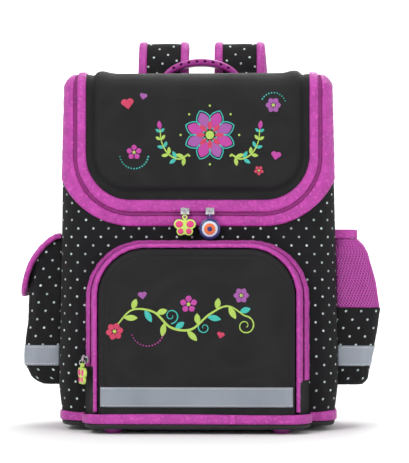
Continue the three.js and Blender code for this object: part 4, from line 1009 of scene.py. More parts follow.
PINK_PLASTIC = plastic("magenta_plastic", (0.34, 0.022, 0.26), 0.36)
FOOT_X, FOOT_FRONT_Y, FOOT_BACK_Y = 87.0, PANEL_FRONT + 22.4, 50.0
foot_profile = [(0.4, 0), (7.6, 0), (8.2, 0.15), (8.5, 0.6), (9.3, 4.4), (9.25, 4.8), (8.9, 5.0), (0.4, 5.0)]
for label, fx, fy in (("front_left", -FOOT_X, FOOT_FRONT_Y), ("front_right", FOOT_X, FOOT_FRONT_Y),
                      ("back_left", -FOOT_X, FOOT_BACK_Y), ("back_right", FOOT_X, FOOT_BACK_Y)):
    fit(turned("moulded_foot_" + label, (fx, fy, 0), foot_profile, PINK_PLASTIC), "magenta_plastic",
        "foot_" + label)


# Side pockets. On the left hangs a bellows pocket of dotted cloth under a bound flap; on the right a bottle
# pocket, of dotted cloth below and of satin net above, gathered by elastic at its mouth.
SIDE_LOW, SIDE_LENGTH, SIDE_CORNER = 46.8, 100.0, 12.0
LEFT_ROWS = [(0, 0.5, 0.9), (0.02, 0.66, 0.93), (0.05, 0.8, 0.96), (0.15, 0.98, 1), (0.35, 0.97, 1),
             (0.7, 0.9, 0.98), (1, 0.78, 0.95)]
RIGHT_ROWS = [(0, 0.58, 0.92), (0.02, 0.66, 0.95), (0.04, 0.71, 0.96), (0.27, 0.86, 1), (0.495, 1, 1),
              (0.65, 0.92, 0.98), (0.846, 0.76, 0.93), (0.9, 0.66, 0.89), (0.942, 0.5, 0.86), (1, 0.5, 0.85)]
LEFT = {"side": -1, "rows": LEFT_ROWS, "height": 142.0, "reach": 38.5}
RIGHT = {"side": 1, "rows": RIGHT_ROWS, "height": 164.0, "reach": 46.0}


def side_grid(pocket, heights, offset, columns=90):
    """A side pocket's wall from its back seam round to its front seam, at heights above the floor."""
    shares = [r[0] for r in pocket["rows"]]
    grid, flat = [], []
    for z in heights:
        share = (z - SIDE_LOW) / pocket["height"]
        reach = pocket["reach"] * np.interp(share, shares, [r[1] for r in pocket["rows"]]) + offset
        half = SIDE_LENGTH / 2 * np.interp(share, shares, [r[2] for r in pocket["rows"]]) + offset
        root = float(half_width(z)) + 0.35
        corner = min(SIDE_CORNER + offset, reach - 0.5)
        points = [(root, half)]
        for a in np.radians(np.linspace(90, 0, 12)):
            points.append((root + reach - corner + corner * math.cos(a), half - corner + corner * math.sin(a)))
        points += [(px, -py) for px, py in points[::-1]]
        points = np.array(points)
        run = strip_lengths(points)
        at = np.linspace(0, run[-1], columns)
        px, py = np.interp(at, run, points[:, 0]), np.interp(at, run, points[:, 1])
        grid.append(np.column_stack([pocket["side"] * px, py, np.full(columns, z)]))
        flat.append(np.column_stack([at - run[-1] / 2, np.full(columns, z)]))
    return np.array(grid), np.array(flat)


def grid_normal(grid, toward):
    """Directions across a grid's faces, on the side that toward points to."""
    normal = np.cross(np.gradient(grid, axis=0), np.gradient(grid, axis=1))
    normal /= np.maximum(np.linalg.norm(normal, axis=-1, keepdims=True), 1e-9)
    return normal * np.sign(np.sum(normal * toward, axis=-1, keepdims=True) + 1e-12)


def side_out(grid, pocket):
    """Outward directions of a side pocket's wall."""
    middle = np.array([pocket["side"] * 125.0, 0.0, 0.0])
    return grid_normal(grid, (grid - middle) * np.array([1, 1, 0.0]))


def floor_of(pocket, grid):
    """Closes a side pocket below: its lowest row drawn in to the body's side."""
    rows = []
    for share in (1.0, 0.7, 0.35, 0.0):
        row = grid[0].copy()
        root = pocket["side"] * (float(half_width(row[0, 2])) + 0.35)
        row[:, 0] = root + (row[:, 0] - root) * share
        rows.append(row)
    return np.array(rows[::-1])


FLAP_PATH = [(0, 1.108), (0.16, 1.1), (0.5, 1.03), (0.83, 0.9), (1.02, 0.72), (1.06, 0.66)]
UNDER_FLAP, POCKET_WALL = 3.4, 2.0


def under_flap(heights, columns):
    """The bellows pocket's wall, with its upper edge run up close under the flap."""
    fine = np.linspace(SIDE_LOW, SIDE_LOW + 1.09 * LEFT["height"], 260)
    grid, flat = side_grid(LEFT, fine, 0.0, columns)
    reach = (np.abs(grid[..., 0]) - half_width(grid[..., 2]) - 0.6) / LEFT["reach"]
    roof = np.interp(reach, [r[0] for r in FLAP_PATH], [r[1] for r in FLAP_PATH])
    below = grid[..., 2] < SIDE_LOW + LEFT["height"] * roof - UNDER_FLAP
    last = np.where(below.all(axis=0), len(fine) - 1, np.argmin(below, axis=0) - 1)
    share = (heights - SIDE_LOW) / (heights[-1] - SIDE_LOW)
    z = SIDE_LOW + share[:, None] * (fine[last][None] - SIDE_LOW)
    parts = [np.column_stack([np.interp(z[:, c], fine, field[:, c, k]) for c in range(columns)])
             for field in (grid, flat) for k in range(field.shape[-1])]
    return np.stack(parts[:3], axis=-1), np.stack(parts[3:], axis=-1)


def side_pocket(name, pocket, grid, flat, seed):
    """A closed cloth pocket from its wall's grid, with its floor."""
    whole = np.concatenate([floor_of(pocket, grid)[:-1], grid])
    low_flat = np.array([flat[0] - np.array([0.0, s]) for s in (36, 24, 12)])
    whole_flat = np.concatenate([low_flat, flat])
    out = side_out(grid, pocket)
    down = np.tile(np.array([0.0, 0.0, -1.0]), (3, grid.shape[1], 1))
    out[0] = out[0] * 0.7 + np.array([0, 0, -0.7])
    out = np.concatenate([down, out])
    outer = whole + out * bellows(whole, whole_flat, seed)[..., None]
    return thick_grid(name, outer, whole - out * POCKET_WALL, DOTTED, whole_flat)


def bellows(whole, flat, seed):
    """Soft dents and a fold along each side of the pocket, where its gusset is sewn."""
    edge = np.abs(flat[..., 0]) / np.maximum(np.abs(flat[:, -1:, 0]), 1)
    fold = -1.1 * np.exp(-((edge - 0.62) / 0.035) ** 2) - 0.5 * np.exp(-((edge - 0.30) / 0.05) ** 2)
    rise = np.clip((flat[..., 1] - SIDE_LOW - 4) / 10, 0, 1)
    return (fold + 0.9 * noise3(whole, 42, seed) + 0.3 * noise3(whole, 15, seed + 1)) * rise


left_heights = SIDE_LOW + np.concatenate([[0, 1.2, 3], np.linspace(6, LEFT["height"], 48)])
left = side_pocket("left_pocket_cloth", LEFT, *under_flap(left_heights, 90), 71)
fit(left, "dotted_fabric", "left_pocket")
right_heights = SIDE_LOW + np.concatenate([[0, 1.2, 3], np.linspace(6, 81, 30)])
right = side_pocket("right_pocket_cloth", RIGHT, *side_grid(RIGHT, right_heights, 0.0), 81)
fit(right, "dotted_fabric", "right_pocket")

SIDE_TAPE_LOW, SIDE_TAPE_HIGH = SIDE_LOW + 20.0, SIDE_LOW + 41.5
for label, pocket, seed in (("left", LEFT, 71), ("right", RIGHT, 81)):
    heights = np.linspace(SIDE_TAPE_LOW, SIDE_TAPE_HIGH, 12)
    grid, flat = side_grid(pocket, heights, 0.0)
    out = side_out(grid, pocket)
    base = bellows(grid, flat, seed)
    tape = thick_grid(label + "_reflector_tape", grid + out * (base + 1.05)[..., None],
                      grid + out * (base + 0.15)[..., None], REFLECTIVE)
    fit(tape, "reflective_tape", label + "_reflector")
    rows = [((grid + out * (base + 1.15)[..., None])[i][3:-3], out[i][3:-3]) for i in (1, -2)]
    fit(small_blocks(label + "_reflector_stitches", rows, TAPE_STITCH_PITCH, TAPE_STITCH, WHITE_THREAD),
        "reflective_tape")


def tubes(name, runs, radius, material, sides):
    """One mesh of thin round threads along runs of (points, outward directions)."""
    turns = np.linspace(0, 2 * math.pi, sides, endpoint=False)
    points, faces, first = [], [], 0
    for run, out in runs:
        run, out = np.asarray(run), np.asarray(out)
        count = len(run)
        way = np.gradient(run, axis=0)
        way /= np.maximum(np.linalg.norm(way, axis=1, keepdims=True), 1e-9)
        side = np.cross(way, out)
        side /= np.maximum(np.linalg.norm(side, axis=1, keepdims=True), 1e-9)
        rings = run[:, None] + radius * (np.cos(turns)[None, :, None] * side[:, None]
                                         + np.sin(turns)[None, :, None] * np.cross(side, way)[:, None])
        points.append(rings.reshape(-1, 3))
        for r in range(count - 1):
            for c in range(sides):
                d = (c + 1) % sides
                a = first + r * sides
                faces.append([a + c, a + d, a + sides + d, a + sides + c])
        faces.append([first + i for i in range(sides)][::-1])
        faces.append([first + (count - 1) * sides + i for i in range(sides)])
        first += count * sides
    mesh = bpy.data.meshes.new(name)
    mesh.from_pydata(((np.concatenate(points) + SHIFT) * MM).tolist(), [], faces)
    shell = bmesh.new()
    shell.from_mesh(mesh)
    bmesh.ops.recalc_face_normals(shell, faces=shell.faces)
    shell.to_mesh(mesh)
    shell.free()
    return finished(name, mesh, material)


# Bottle pocket's net: two layers of magenta mesh cloth, a close one under an open net of diamonds. They are
# sewn to the dotted cloth below, and gathered into the elastic strip at the mouth.
NET_SATIN = satin("net_ground_satin", (0.19, 0.010, 0.15), (0.13, 0.006, 0.10))
NET_THREAD = plastic("net_thread", (0.60, 0.085, 0.48), 0.35)
NET_LOW, NET_HIGH, NET_PITCH, NET_SLOPE = 128.1, 201.4, 3.2, 0.62
net_heights = np.linspace(NET_LOW, NET_HIGH, 44)
net_grid, net_flat = side_grid(RIGHT, net_heights, 0.0, 120)
net_out = side_out(net_grid, RIGHT)
net_gather = 0.35 * np.sin(net_flat[..., 0] / 2.6) * np.clip((net_flat[..., 1] - 176) / 25, 0, 1)
net_high = 0.8 * noise3(net_grid, 40, 91) * np.sin((net_flat[..., 1] - NET_LOW) / (NET_HIGH - NET_LOW) * math.pi)
net_base = net_high + net_gather - 0.5
fit(thick_grid("right_pocket_net_ground", net_grid + net_out * net_base[..., None],
               net_grid + net_out * (net_base - 1.0)[..., None], NET_SATIN, net_flat),
    "magenta_net", "right_pocket_net")


def on_net(u, z, high):
    """Points over the net, at a length from its middle seam and a height."""
    row = np.clip((z - NET_LOW) / (NET_HIGH - NET_LOW), 0, 1) * (len(net_heights) - 1)
    r = np.minimum(row.astype(int), len(net_heights) - 2)
    part = (row - r)[:, None]
    half = np.interp(z, net_heights, net_flat[:, -1, 0])
    column = np.clip((u / half + 1) / 2, 0, 1) * (net_grid.shape[1] - 1)
    c = np.minimum(column.astype(int), net_grid.shape[1] - 2)
    side = (column - c)[:, None]

    def sample(field):
        low = field[r, c] * (1 - side) + field[r, c + 1] * side
        top = field[r + 1, c] * (1 - side) + field[r + 1, c + 1] * side
        return low * (1 - part) + top * part

    out = sample(net_out)
    out /= np.linalg.norm(out, axis=1, keepdims=True)
    return sample(net_grid) + out * (sample(net_base[..., None]) + high), out


net_runs = []
net_half = float(net_flat[:, -1, 0].max())
rise = (NET_HIGH - NET_LOW) * NET_SLOPE
for way in (-1, 1):
    for u0 in np.arange(-net_half - rise, net_half + rise, NET_PITCH):
        z = np.linspace(NET_LOW + 0.4, NET_HIGH - 0.4, 40)
        u = u0 + way * (z - NET_LOW) * NET_SLOPE
        inside = np.abs(u) < np.interp(z, net_heights, net_flat[:, -1, 0]) - 0.5
        if inside.sum() > 3:
            net_runs.append(on_net(u[inside], z[inside], 0.25))
fit(tubes("right_pocket_net_threads", net_runs, 0.42, NET_THREAD, 4), "magenta_net")

# Elastic in a folded satin strip at the bottle pocket's mouth.
elastic_share = np.linspace(0, 1, 13)
elastic_grid, elastic_flat = side_grid(RIGHT, 201.3 + 9.5 * elastic_share, 0.0, 200)
elastic_out = side_out(elastic_grid, RIGHT)
round_edge = bulge(elastic_share, 6)[:, None]
gathers = 0.32 * puckers(elastic_flat[..., 0], elastic_share[:, None], 97, 4.5)
elastic_high = 0.15 + (1.05 + gathers) * round_edge
fit(thick_grid("right_pocket_elastic_satin", elastic_grid + elastic_out * elastic_high[..., None],
               elastic_grid - elastic_out * (0.4 + 1.4 * round_edge)[..., None], SATIN, elastic_flat),
    "magenta_satin", "right_pocket_elastic")


# Shoulder straps: pads of foam in dotted cloth, with a folded satin binding sewn round both sides and the
# lower end. They are sewn in at the top of the back and bow out behind it, along one smooth line each.
def smooth_line(knots, samples):
    """Points evenly spaced on a smooth line through knots (centripetal Catmull-Rom), and its length."""
    knots = np.asarray(knots, float)
    ends = np.vstack([2 * knots[0] - knots[1], knots, 2 * knots[-1] - knots[-2]])
    points = []
    for i in range(1, len(ends) - 2):
        p0, p1, p2, p3 = ends[i - 1:i + 3]
        t0 = 0.0
        t1 = t0 + np.linalg.norm(p1 - p0) ** 0.5
        t2 = t1 + np.linalg.norm(p2 - p1) ** 0.5
        t3 = t2 + np.linalg.norm(p3 - p2) ** 0.5
        for t in np.linspace(t1, t2, 24, endpoint=False):
            a1 = (t1 - t) / (t1 - t0) * p0 + (t - t0) / (t1 - t0) * p1
            a2 = (t2 - t) / (t2 - t1) * p1 + (t - t1) / (t2 - t1) * p2
            a3 = (t3 - t) / (t3 - t2) * p2 + (t - t2) / (t3 - t2) * p3
            b1 = (t2 - t) / (t2 - t0) * a1 + (t - t0) / (t2 - t0) * a2
            b2 = (t3 - t) / (t3 - t1) * a2 + (t - t1) / (t3 - t1) * a3
            points.append((t2 - t) / (t2 - t1) * b1 + (t - t1) / (t2 - t1) * b2)
    points.append(knots[-1])
    points = np.array(points)
    run = strip_lengths(points)
    at = np.linspace(0, run[-1], samples)
    return np.column_stack([np.interp(at, run, points[:, i]) for i in range(3)]), run[-1]


def strip_frame(line, across):
    """Sideways and outward directions along a strip's line."""
    way = np.gradient(line, axis=0)
    way /= np.linalg.norm(way, axis=1, keepdims=True)
    side = across - (way @ across)[:, None] * way
    side /= np.linalg.norm(side, axis=1, keepdims=True)
    return way, side, np.cross(way, side)


def strip_surface(line, across, width_at, section, columns):
    """Closed strip: section(s, share) gives half its thickness; share runs from -1 to 1 across."""
    way, side, out = strip_frame(line, across)
    share = np.sin(np.linspace(-math.pi / 2, math.pi / 2, columns))
    run = strip_lengths(line)
    front, back = section(run[:, None], share[None])
    half = width_at(run)[:, None] * share[None]
    base = line[:, None] + side[:, None] * half[..., None]
    flat = np.stack([half, np.broadcast_to(run[:, None], half.shape)], axis=-1)
    return base + out[:, None] * front[..., None], base - out[:, None] * back[..., None], flat


def rounded_end(run, length, half, corner):
    """Half the width of a strip whose far end has rounded corners."""
    left = np.clip(length - run, 0, corner)
    return half - corner + np.sqrt(np.clip(corner ** 2 - (corner - left) ** 2, 0, None))


def strip_binding(name, line, across, half, thickness, rim, corner, deep, seed):
    """A folded strip sewn round both sides and the far end of a pad; half and thickness are the pad's."""
    way, sideways, out = strip_frame(line, across)
    run = strip_lengths(line)
    length = run[-1]
    turn = np.radians(np.linspace(0, 90, 14))
    left = [(s, -half, 0.0, 1.0) for s in run[run < length - corner - 0.2]]
    left += [(length - corner * (1 - math.sin(a)), corner * (1 - math.cos(a)) - half, -math.sin(a), math.cos(a))
             for a in turn]
    end = [(length, w, -1.0, 0.0) for w in np.linspace(corner - half, half - corner, 8)[1:-1]]
    border = np.array(left + end + [(s, -w, i, -j) for s, w, i, j in left[::-1]])
    hem = strip_lengths(border[:, :2])

    def placed(inset, high):
        spot = border[:, :2] + border[:, 2:] * inset
        extra = np.maximum(spot[:, 0] - length, 0)[:, None]
        at = np.column_stack([np.interp(spot[:, 0], run, line[:, i]) for i in range(3)])
        aside = np.column_stack([np.interp(spot[:, 0], run, sideways[:, i]) for i in range(3)])
        up = np.column_stack([np.interp(spot[:, 0], run, out[:, i]) for i in range(3)])
        return at + way[-1] * extra + aside * spot[:, 1:2] + up * np.broadcast_to(high, len(border))[:, None]

    top = thickness / 2 + rim
    fold = [(deep, 0.93), (deep - 0.6, 1.06), (deep * 0.6, 1.07), (deep * 0.3, 1.04), (0.6, 0.94),
            (-rim * 0.5, 0.72), (-rim * 0.9, 0.38), (-rim, 0.0)]
    fold += [(inset, -high) for inset, high in fold[:-1][::-1]]
    wall = min(0.8, rim * 0.55)
    outer, inner = [], []
    for inset, high in fold:
        share = np.full(1, np.clip((inset + rim) / (deep + rim), 0, 1))
        crumple = puckers(hem, share, seed, 5.0) * min(0.34, 0.28 * rim)
        outer.append(placed(inset, high * top + np.sign(high) * crumple))
        near_rim = abs(high) < 0.95
        inner.append(placed(inset + wall * near_rim, high * (top * 0.9 if abs(high) <= 0.9 else top - wall)))
    flat = np.stack(np.broadcast_arrays(hem[None], np.arange(len(fold))[:, None] * 1.5), axis=-1)
    return thick_grid(name, np.array(outer), np.array(inner), SATIN, flat)


STRAP_HALF, STRAP_THICK, STRAP_RIM, STRAP_BOUND, STRAP_CORNER = 28.5, 9.0, 1.5, 9.0, 20.0
STRAP_PATH = [(0, 0.935, 0), (0.01, 1, 0), (0.1, 1.07, 0), (0.34, 1.115, 0), (0.64, 1.1, 0.02), (0.9, 1.01, 0.1),
              (1, 0.84, 0.27), (0.95, 0.68, 0.52), (0.8, 0.55, 0.77), (0.64, 0.46, 1)]
STRAP_ROOT = BODY_DEPTH / 2 + 0.3 + STRAP_THICK / 2 + STRAP_RIM
TO_RIGHT = np.array([1.0, 0, 0])
for label, side in (("left", -1), ("right", 1)):
    line, length = smooth_line([(side * (42.5 + 36 * splay), STRAP_ROOT + 52 * out, BODY_LOW + 363 * high)
                                for out, high, splay in STRAP_PATH], 190)
    inner_half = STRAP_HALF - STRAP_RIM

    def padding(run, share):
        edge = np.clip(1 - np.abs(share) ** 5, 0, 1) ** 0.5
        quilt = 0.5 * np.sin(run / 9.0 + 13 + side) * np.exp(-(share / 0.9) ** 4)
        quilt = quilt + 0.35 * np.sin(run / 3.7 + 5 * share)
        ends = np.clip(run / 6, 0, 1) * np.clip((length - run) / 5, 0.25, 1)
        half = (STRAP_THICK / 2 - 0.3 + 0.45 * quilt * ends) * (0.3 + 0.7 * edge) * np.maximum(ends, 0.5)
        return half, half

    outer, inner, flat = strip_surface(
        line, TO_RIGHT, lambda run: rounded_end(run, length, inner_half, STRAP_CORNER), padding, 46)
    tilt = math.radians(12 * side)
    flat = flat @ np.array([[math.cos(tilt), math.sin(tilt)], [-math.sin(tilt), math.cos(tilt)]])
    strap = fit(thick_grid("padded_strap_" + label, outer, inner, DOTTED, flat), "dotted_fabric",
                "shoulder_strap_" + label)
    binding = strip_binding("strap_binding_satin_" + label, line, TO_RIGHT, inner_half, STRAP_THICK, STRAP_RIM,
                            STRAP_CORNER, STRAP_BOUND - STRAP_RIM, 29 + side)
    fit(binding, "magenta_satin", "strap_binding_" + label)

# Flap of the bellows pocket: one layer of dotted cloth in a satin binding. Its upper edge is sewn to the
# body's side, and it bends down over the pocket's mouth.
FLAP_HALF, FLAP_THICK, FLAP_RIM, FLAP_BOUND, FLAP_CORNER = 53.0, 2.6, 1.4, 9.0, 22.0
flap_knots = []
for out, high in FLAP_PATH:
    z = SIDE_LOW + LEFT["height"] * high
    flap_knots.append((-float(half_width(z)) - 0.6 - LEFT["reach"] * out, 0, z))
flap_line, flap_length = smooth_line(flap_knots, 70)
TO_BACK = np.array([0, 1.0, 0])
flap_half = FLAP_HALF - FLAP_RIM


def flap_section(run, share):
    wave = 0.35 * np.sin(run / 11 + 2 * share) * np.clip(run / 8, 0, 1)
    return FLAP_THICK / 2 + wave, FLAP_THICK / 2 - wave


flap_outer, flap_inner, flap_flat = strip_surface(
    flap_line, TO_BACK, lambda run: rounded_end(run, flap_length, flap_half, FLAP_CORNER), flap_section, 60)
fit(thick_grid("left_flap_cloth", flap_outer, flap_inner, DOTTED, flap_flat), "dotted_fabric", "left_flap")
fit(strip_binding("left_flap_binding_satin", flap_line, TO_BACK, flap_half, FLAP_THICK, FLAP_RIM, FLAP_CORNER,
                  FLAP_BOUND - FLAP_RIM, 41), "magenta_satin", "left_flap_binding")


# Handle: one bow of soft magenta plastic, fixed to the top of the body at both ends. It is thick in its
# middle and thin at its ends, with a row of eight small holes along its front.
def solid_copy(name, node, material, bevel=0.0, segments=2):
    """A merged copy of one of the frame's solids, with its edges rounded."""
    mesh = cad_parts[node].data.copy()
    shell = bmesh.new()
    shell.from_mesh(mesh)
    bmesh.ops.remove_doubles(shell, verts=shell.verts, dist=2e-6)
    bmesh.ops.dissolve_limit(shell, angle_limit=math.radians(1.5), verts=shell.verts, edges=shell.edges)
    if bevel:
        sharp = [e for e in shell.edges if len(e.link_faces) == 2 and e.calc_face_angle(0) > math.radians(28)]
        bmesh.ops.bevel(shell, geom=sharp, offset=bevel * MM, segments=segments, profile=0.5, affect="EDGES",
                        clamp_overlap=True)
    bmesh.ops.triangulate(shell, faces=[f for f in shell.faces if len(f.verts) > 4])
    bmesh.ops.recalc_face_normals(shell, faces=shell.faces)
    shell.to_mesh(mesh)
    shell.free()
    piece = finished(name, mesh, material)
    mesh.set_sharp_from_angle(angle=math.radians(35))
    return piece


def cut_by(piece, cutters):
    """The piece with small round bores cut into it."""
    cut = piece.modifiers.new("bores", "BOOLEAN")
    cut.object = cutters
    cut.solver = "EXACT"
    bpy.context.view_layer.update()
    bored = evaluated_mesh(piece)
    piece.modifiers.clear()
    piece.data = bored
    bpy.data.objects.remove(cutters)
    return piece


RUBBER_PINK = plastic("soft_magenta_plastic", (0.36, 0.022, 0.27), 0.42)
HANDLE_SPAN, HANDLE_RISE, HANDLE_WIDE, HANDLE_THICK, HANDLE_Y = 84.0, 24.0, 18.0, 9.0, 65.0
HANDLE_FOOT = BODY_HIGH - 2
BORES, BORE_SIDES, BORE_PITCH, BORE_RADIUS = 8, 16, 9.0, 1.55
rings = []
for a in np.linspace(0, math.pi, 61):
    middle = np.array([-HANDLE_SPAN / 2 * math.cos(a), HANDLE_Y, HANDLE_FOOT + HANDLE_RISE * math.sin(a)])
    way = np.array([HANDLE_SPAN / 2 * math.sin(a), 0, HANDLE_RISE * math.cos(a)])
    way /= np.linalg.norm(way)
    up = np.cross(np.array([0, 1.0, 0]), -way)
    thick = HANDLE_THICK * (0.45 + 0.55 * math.sin(a) ** 0.8)
    wide = HANDLE_WIDE * (0.9 + 0.1 * math.sin(a))
    around = np.linspace(0, 2 * math.pi, 28, endpoint=False)
    form_y = np.sign(np.cos(around)) * np.abs(np.cos(around)) ** 0.55 * wide / 2
    form_z = np.sign(np.sin(around)) * np.abs(np.sin(around)) ** 0.55 * thick / 2
    lift = (HANDLE_THICK - thick) / 2
    rings.append(middle + np.outer(form_y, [0, 1.0, 0]) + np.outer(form_z + lift * 0.6, up))
handle = closed_tube("handle_bow", np.array(rings), RUBBER_PINK)
arc_fine = np.linspace(0, math.pi, 400)
bow = np.column_stack([-HANDLE_SPAN / 2 * np.cos(arc_fine), HANDLE_FOOT + HANDLE_RISE * np.sin(arc_fine)])
bow_run = strip_lengths(bow)
around = np.linspace(0, 2 * math.pi, BORE_SIDES, endpoint=False)
points, faces = [], []
for k in range(BORES):
    first = len(points)
    x, z = (np.interp(bow_run[-1] / 2 + (k - (BORES - 1) / 2) * BORE_PITCH, bow_run, bow[:, i]) for i in range(2))
    for y in (HANDLE_Y - 12, HANDLE_Y - 4):
        points += [(x + BORE_RADIUS * math.cos(a), y, z + 1.0 + BORE_RADIUS * math.sin(a)) for a in around]
    near = [first + i for i in range(BORE_SIDES)]
    far = [i + BORE_SIDES for i in near]
    faces += [[near[i - 1], near[i], far[i], far[i - 1]] for i in range(BORE_SIDES)] + [near[::-1], far]
# The cutters' near-black material stays on the bores' walls: painted shade for the dark inside of the holes.
cutters = mesh_piece("handle_bores", points, faces, plastic("bore_painted_shade", (0.03, 0.004, 0.022), 0.7))
fit(cut_by(handle, cutters), "handle_rubber", "handle")


# Back: a stiff plate in smooth black cloth, sewn to the body. It carries two long pads and one low pad of
# foam under knitted spacer mesh, sewn down round their rims.
def spacer_mesh(name, ground):
    """Knitted spacer cloth: small round wells in rows, half a pitch apart from row to row, with painted shade in
    the wells.
    """
    finish = Finish(name, ground, 0.85)
    parts = finish.add("SeparateXYZ", inputs={0: finish.place})
    across, up = finish.wave(parts.outputs["X"], 0.0034), finish.wave(parts.outputs["Z"], 0.0058)
    wells = finish.ramp(finish.math("MULTIPLY", across, up), 0.15, 0.75)
    light = finish.blend(finish.noise(14), tint(ground, 0.8), tint(ground, 1.35))
    # Painted shade: the wells are coloured far darker than the cloth between them.
    finish.colour(finish.blend(wells, light, tint(ground, 0.25)))
    finish.bump(finish.math("SUBTRACT", 1.0, wells), 0.9, 0.0007)
    finish.shader.inputs["Sheen Weight"].default_value = 0.15
    return finish.material


SPACER = spacer_mesh("spacer_mesh", (0.016, 0.016, 0.018))
PANEL_LOW, PANEL_WIDE, PANEL_TALL, PANEL_PLATE, PAD_HIGH, PAD_CORNER = 28.8, 190.0, 312.0, 3.0, 9.0, 16.0
PANEL_REAR = BODY_DEPTH / 2 + 0.3


def upright_outline(left, right, low, high, corner):
    turn = np.radians(np.linspace(0, 90, 10))
    points = []
    for cx, cz, start in ((right - corner, high - corner, 0), (left + corner, high - corner, 90),
                          (left + corner, low + corner, 180), (right - corner, low + corner, 270)):
        around = turn + math.radians(start)
        points += [*zip(cx + corner * np.cos(around), cz + corner * np.sin(around))]
    return np.array(points)


def upright_slab(name, box, levels, material):
    """A closed slab with levels of (height off the body's back, inset)."""
    rows = []
    for y, inset in levels:
        flat = upright_outline(box[0] + inset, box[1] - inset, box[2] + inset, box[3] - inset, PAD_CORNER - inset)
        rows.append(np.column_stack([flat[:, 0], np.full(len(flat), PANEL_REAR + y), flat[:, 1]]))
    return closed_tube(name, np.array(rows), material)


panel_box = (-PANEL_WIDE / 2, PANEL_WIDE / 2, PANEL_LOW, PANEL_LOW + PANEL_TALL)
plate = upright_slab("back_plate_cloth", panel_box,
                     [(0.0, 1.0), (0.5, 0.2), (2.2, 0.0), (3.0, 0.7), (3.0, 4.0)], MOULDED)
fit(plate, "moulded_fabric", "back_panel")
# Each pad's middle across and up the plate, its width and its height, as shares of the plate.
PADS = [(-0.24, 0.63, 0.42, 0.66), (0.24, 0.63, 0.42, 0.66), (0, 0.15, 0.9, 0.22)]
PAD_SEAM, PAD_SWELL, PAD_FINENESS, PAD_PRESSURE, PAD_FRAMES = 3.2, 3.5, 4.5, 4.0, 20
foot, crown = PANEL_PLATE - 0.4, PANEL_PLATE + PAD_HIGH
pad_levels = [(foot, 0.3), (foot + 2, 0.0), (crown - 5, 0.4), (crown - 2.2, 1.9), (crown - 1.2, 4.5)]
for k, (across, up, wide, tall) in enumerate(PADS):
    x, z = across * PANEL_WIDE, PANEL_LOW + up * PANEL_TALL
    half_x, half_z = wide * PANEL_WIDE / 2, tall * PANEL_TALL / 2
    pad_box = (x - half_x, x + half_x, z - half_z, z + half_z)
    pad = upright_slab("back_pad_%d" % (k + 1), pad_box, pad_levels, SPACER)
    remesh = pad.modifiers.new("even mesh", "REMESH")
    remesh.mode = "VOXEL"
    remesh.voxel_size = PAD_FINENESS * MM
    bpy.context.view_layer.update()
    pad.data = evaluated_mesh(pad)
    pad.modifiers.clear()
    start = np.array([v.co for v in pad.data.vertices])
    sewn = pad.vertex_groups.new(name="sewn")
    low_y = start[:, 1].min()
    sewn.add([i for i, co in enumerate(start) if co[1] < low_y + PAD_SEAM * MM], 1.0, "ADD")
    cloth = pad.modifiers.new("foam", "CLOTH")
    cloth.settings.use_pressure = True
    cloth.settings.uniform_pressure_force = PAD_PRESSURE
    cloth.settings.vertex_group_mass = "sewn"
    cloth.settings.tension_stiffness = 25
    cloth.settings.bending_stiffness = 6
    cloth.settings.effector_weights.gravity = 0
    cloth.point_cache.frame_start, cloth.point_cache.frame_end = 1, PAD_FRAMES
    for step in range(1, PAD_FRAMES + 1):
        bpy.context.scene.frame_set(step)
    shaped = evaluated_mesh(pad)
    pad.modifiers.clear()
    pad.data = shaped
    move = np.array([v.co for v in shaped.vertices]) - start
    size = np.linalg.norm(move, axis=1, keepdims=True)
    move *= np.minimum(1, PAD_SWELL * MM / np.maximum(size, 1e-9))
    move[:, 1] = np.minimum(move[:, 1], (PANEL_REAR + crown + SHIFT[1] + 0.8) * MM - start[:, 1])
    shaped.vertices.foreach_set("co", (start + move).astype(np.float32).ravel())
    bpy.context.scene.frame_set(1)
    round_off = pad.modifiers.new("finer", "SUBSURF")
    round_off.levels = round_off.render_levels = 1
    pad.data.polygons.foreach_set("use_smooth", [True] * len(pad.data.polygons))
    fit(pad, "moulded_fabric")


# Strap ends: a tab of webbing sewn to each strap's end holds a slide buckle of black plastic. From it, black
# webbing runs down to a patch sewn to the foot of the bag.
def webbing(name, colour):
    """Woven webbing with ribs across it and slightly shiny yarns, with painted highlight on the ribs' crests and
    painted shade between them.
    """
    finish = Finish(name, colour, 0.55)
    parts = finish.add("SeparateXYZ", inputs={0: finish.place})
    ribs, yarns = finish.wave(parts.outputs["Z"], 0.0016), finish.wave(parts.outputs["X"], 0.0011)
    height = finish.math("ADD", ribs, finish.math("MULTIPLY", yarns, 0.5))
    finish.bump(height, 0.8, 0.00018)
    # Painted highlight and shade: the colour follows the ribs' height, lighter on their crests and darker between
    # them.
    finish.colour(finish.blend(finish.ramp(height, -1, 1), tint(colour, 0.7), tint(colour, 1.4)))
    finish.shader.inputs["Sheen Weight"].default_value = 0.2
    return finish.material


WEBBING = webbing("black_webbing", (0.012, 0.012, 0.013))
BLACK_PLASTIC = plastic("black_plastic", (0.014, 0.014, 0.015), 0.35)
for label in ("left", "right"):
    for kind, node, slot, bevel, segments in (
            ("tab_webbing", "tab", "webbing", 0.4, 2), ("buckle_slide", "buckle", "black_plastic", 0.5, 3),
            ("webbing_run", "webbing", "webbing", 0.3, 2), ("anchor_patch", "anchor", "webbing", 0.5, 2)):
        node = "strap_%s_%s" % (node, label)
        fit(solid_copy("strap_%s_%s" % (kind, label), node, WEBBING if slot == "webbing" else BLACK_PLASTIC,
                       bevel, segments), slot, node)


# Zip pulls: a nickel slider and ring on each zip, with a soft rubber charm. Two charms have four rounded wings,
# the third is a domed round badge.
def nickel(name):
    finish = Finish(name, (0.62, 0.62, 0.64), 0.24, 1.0)
    finish.rough(finish.ramp(finish.noise(90, 2), 0.3, 0.7, 0.2, 0.32))
    finish.colour(finish.blend(finish.noise(70, 2), (0.5, 0.5, 0.52, 1), (0.72, 0.72, 0.74, 1)))
    finish.bump(finish.noise(120, 2), 0.1, 0.0002)
    return finish.material


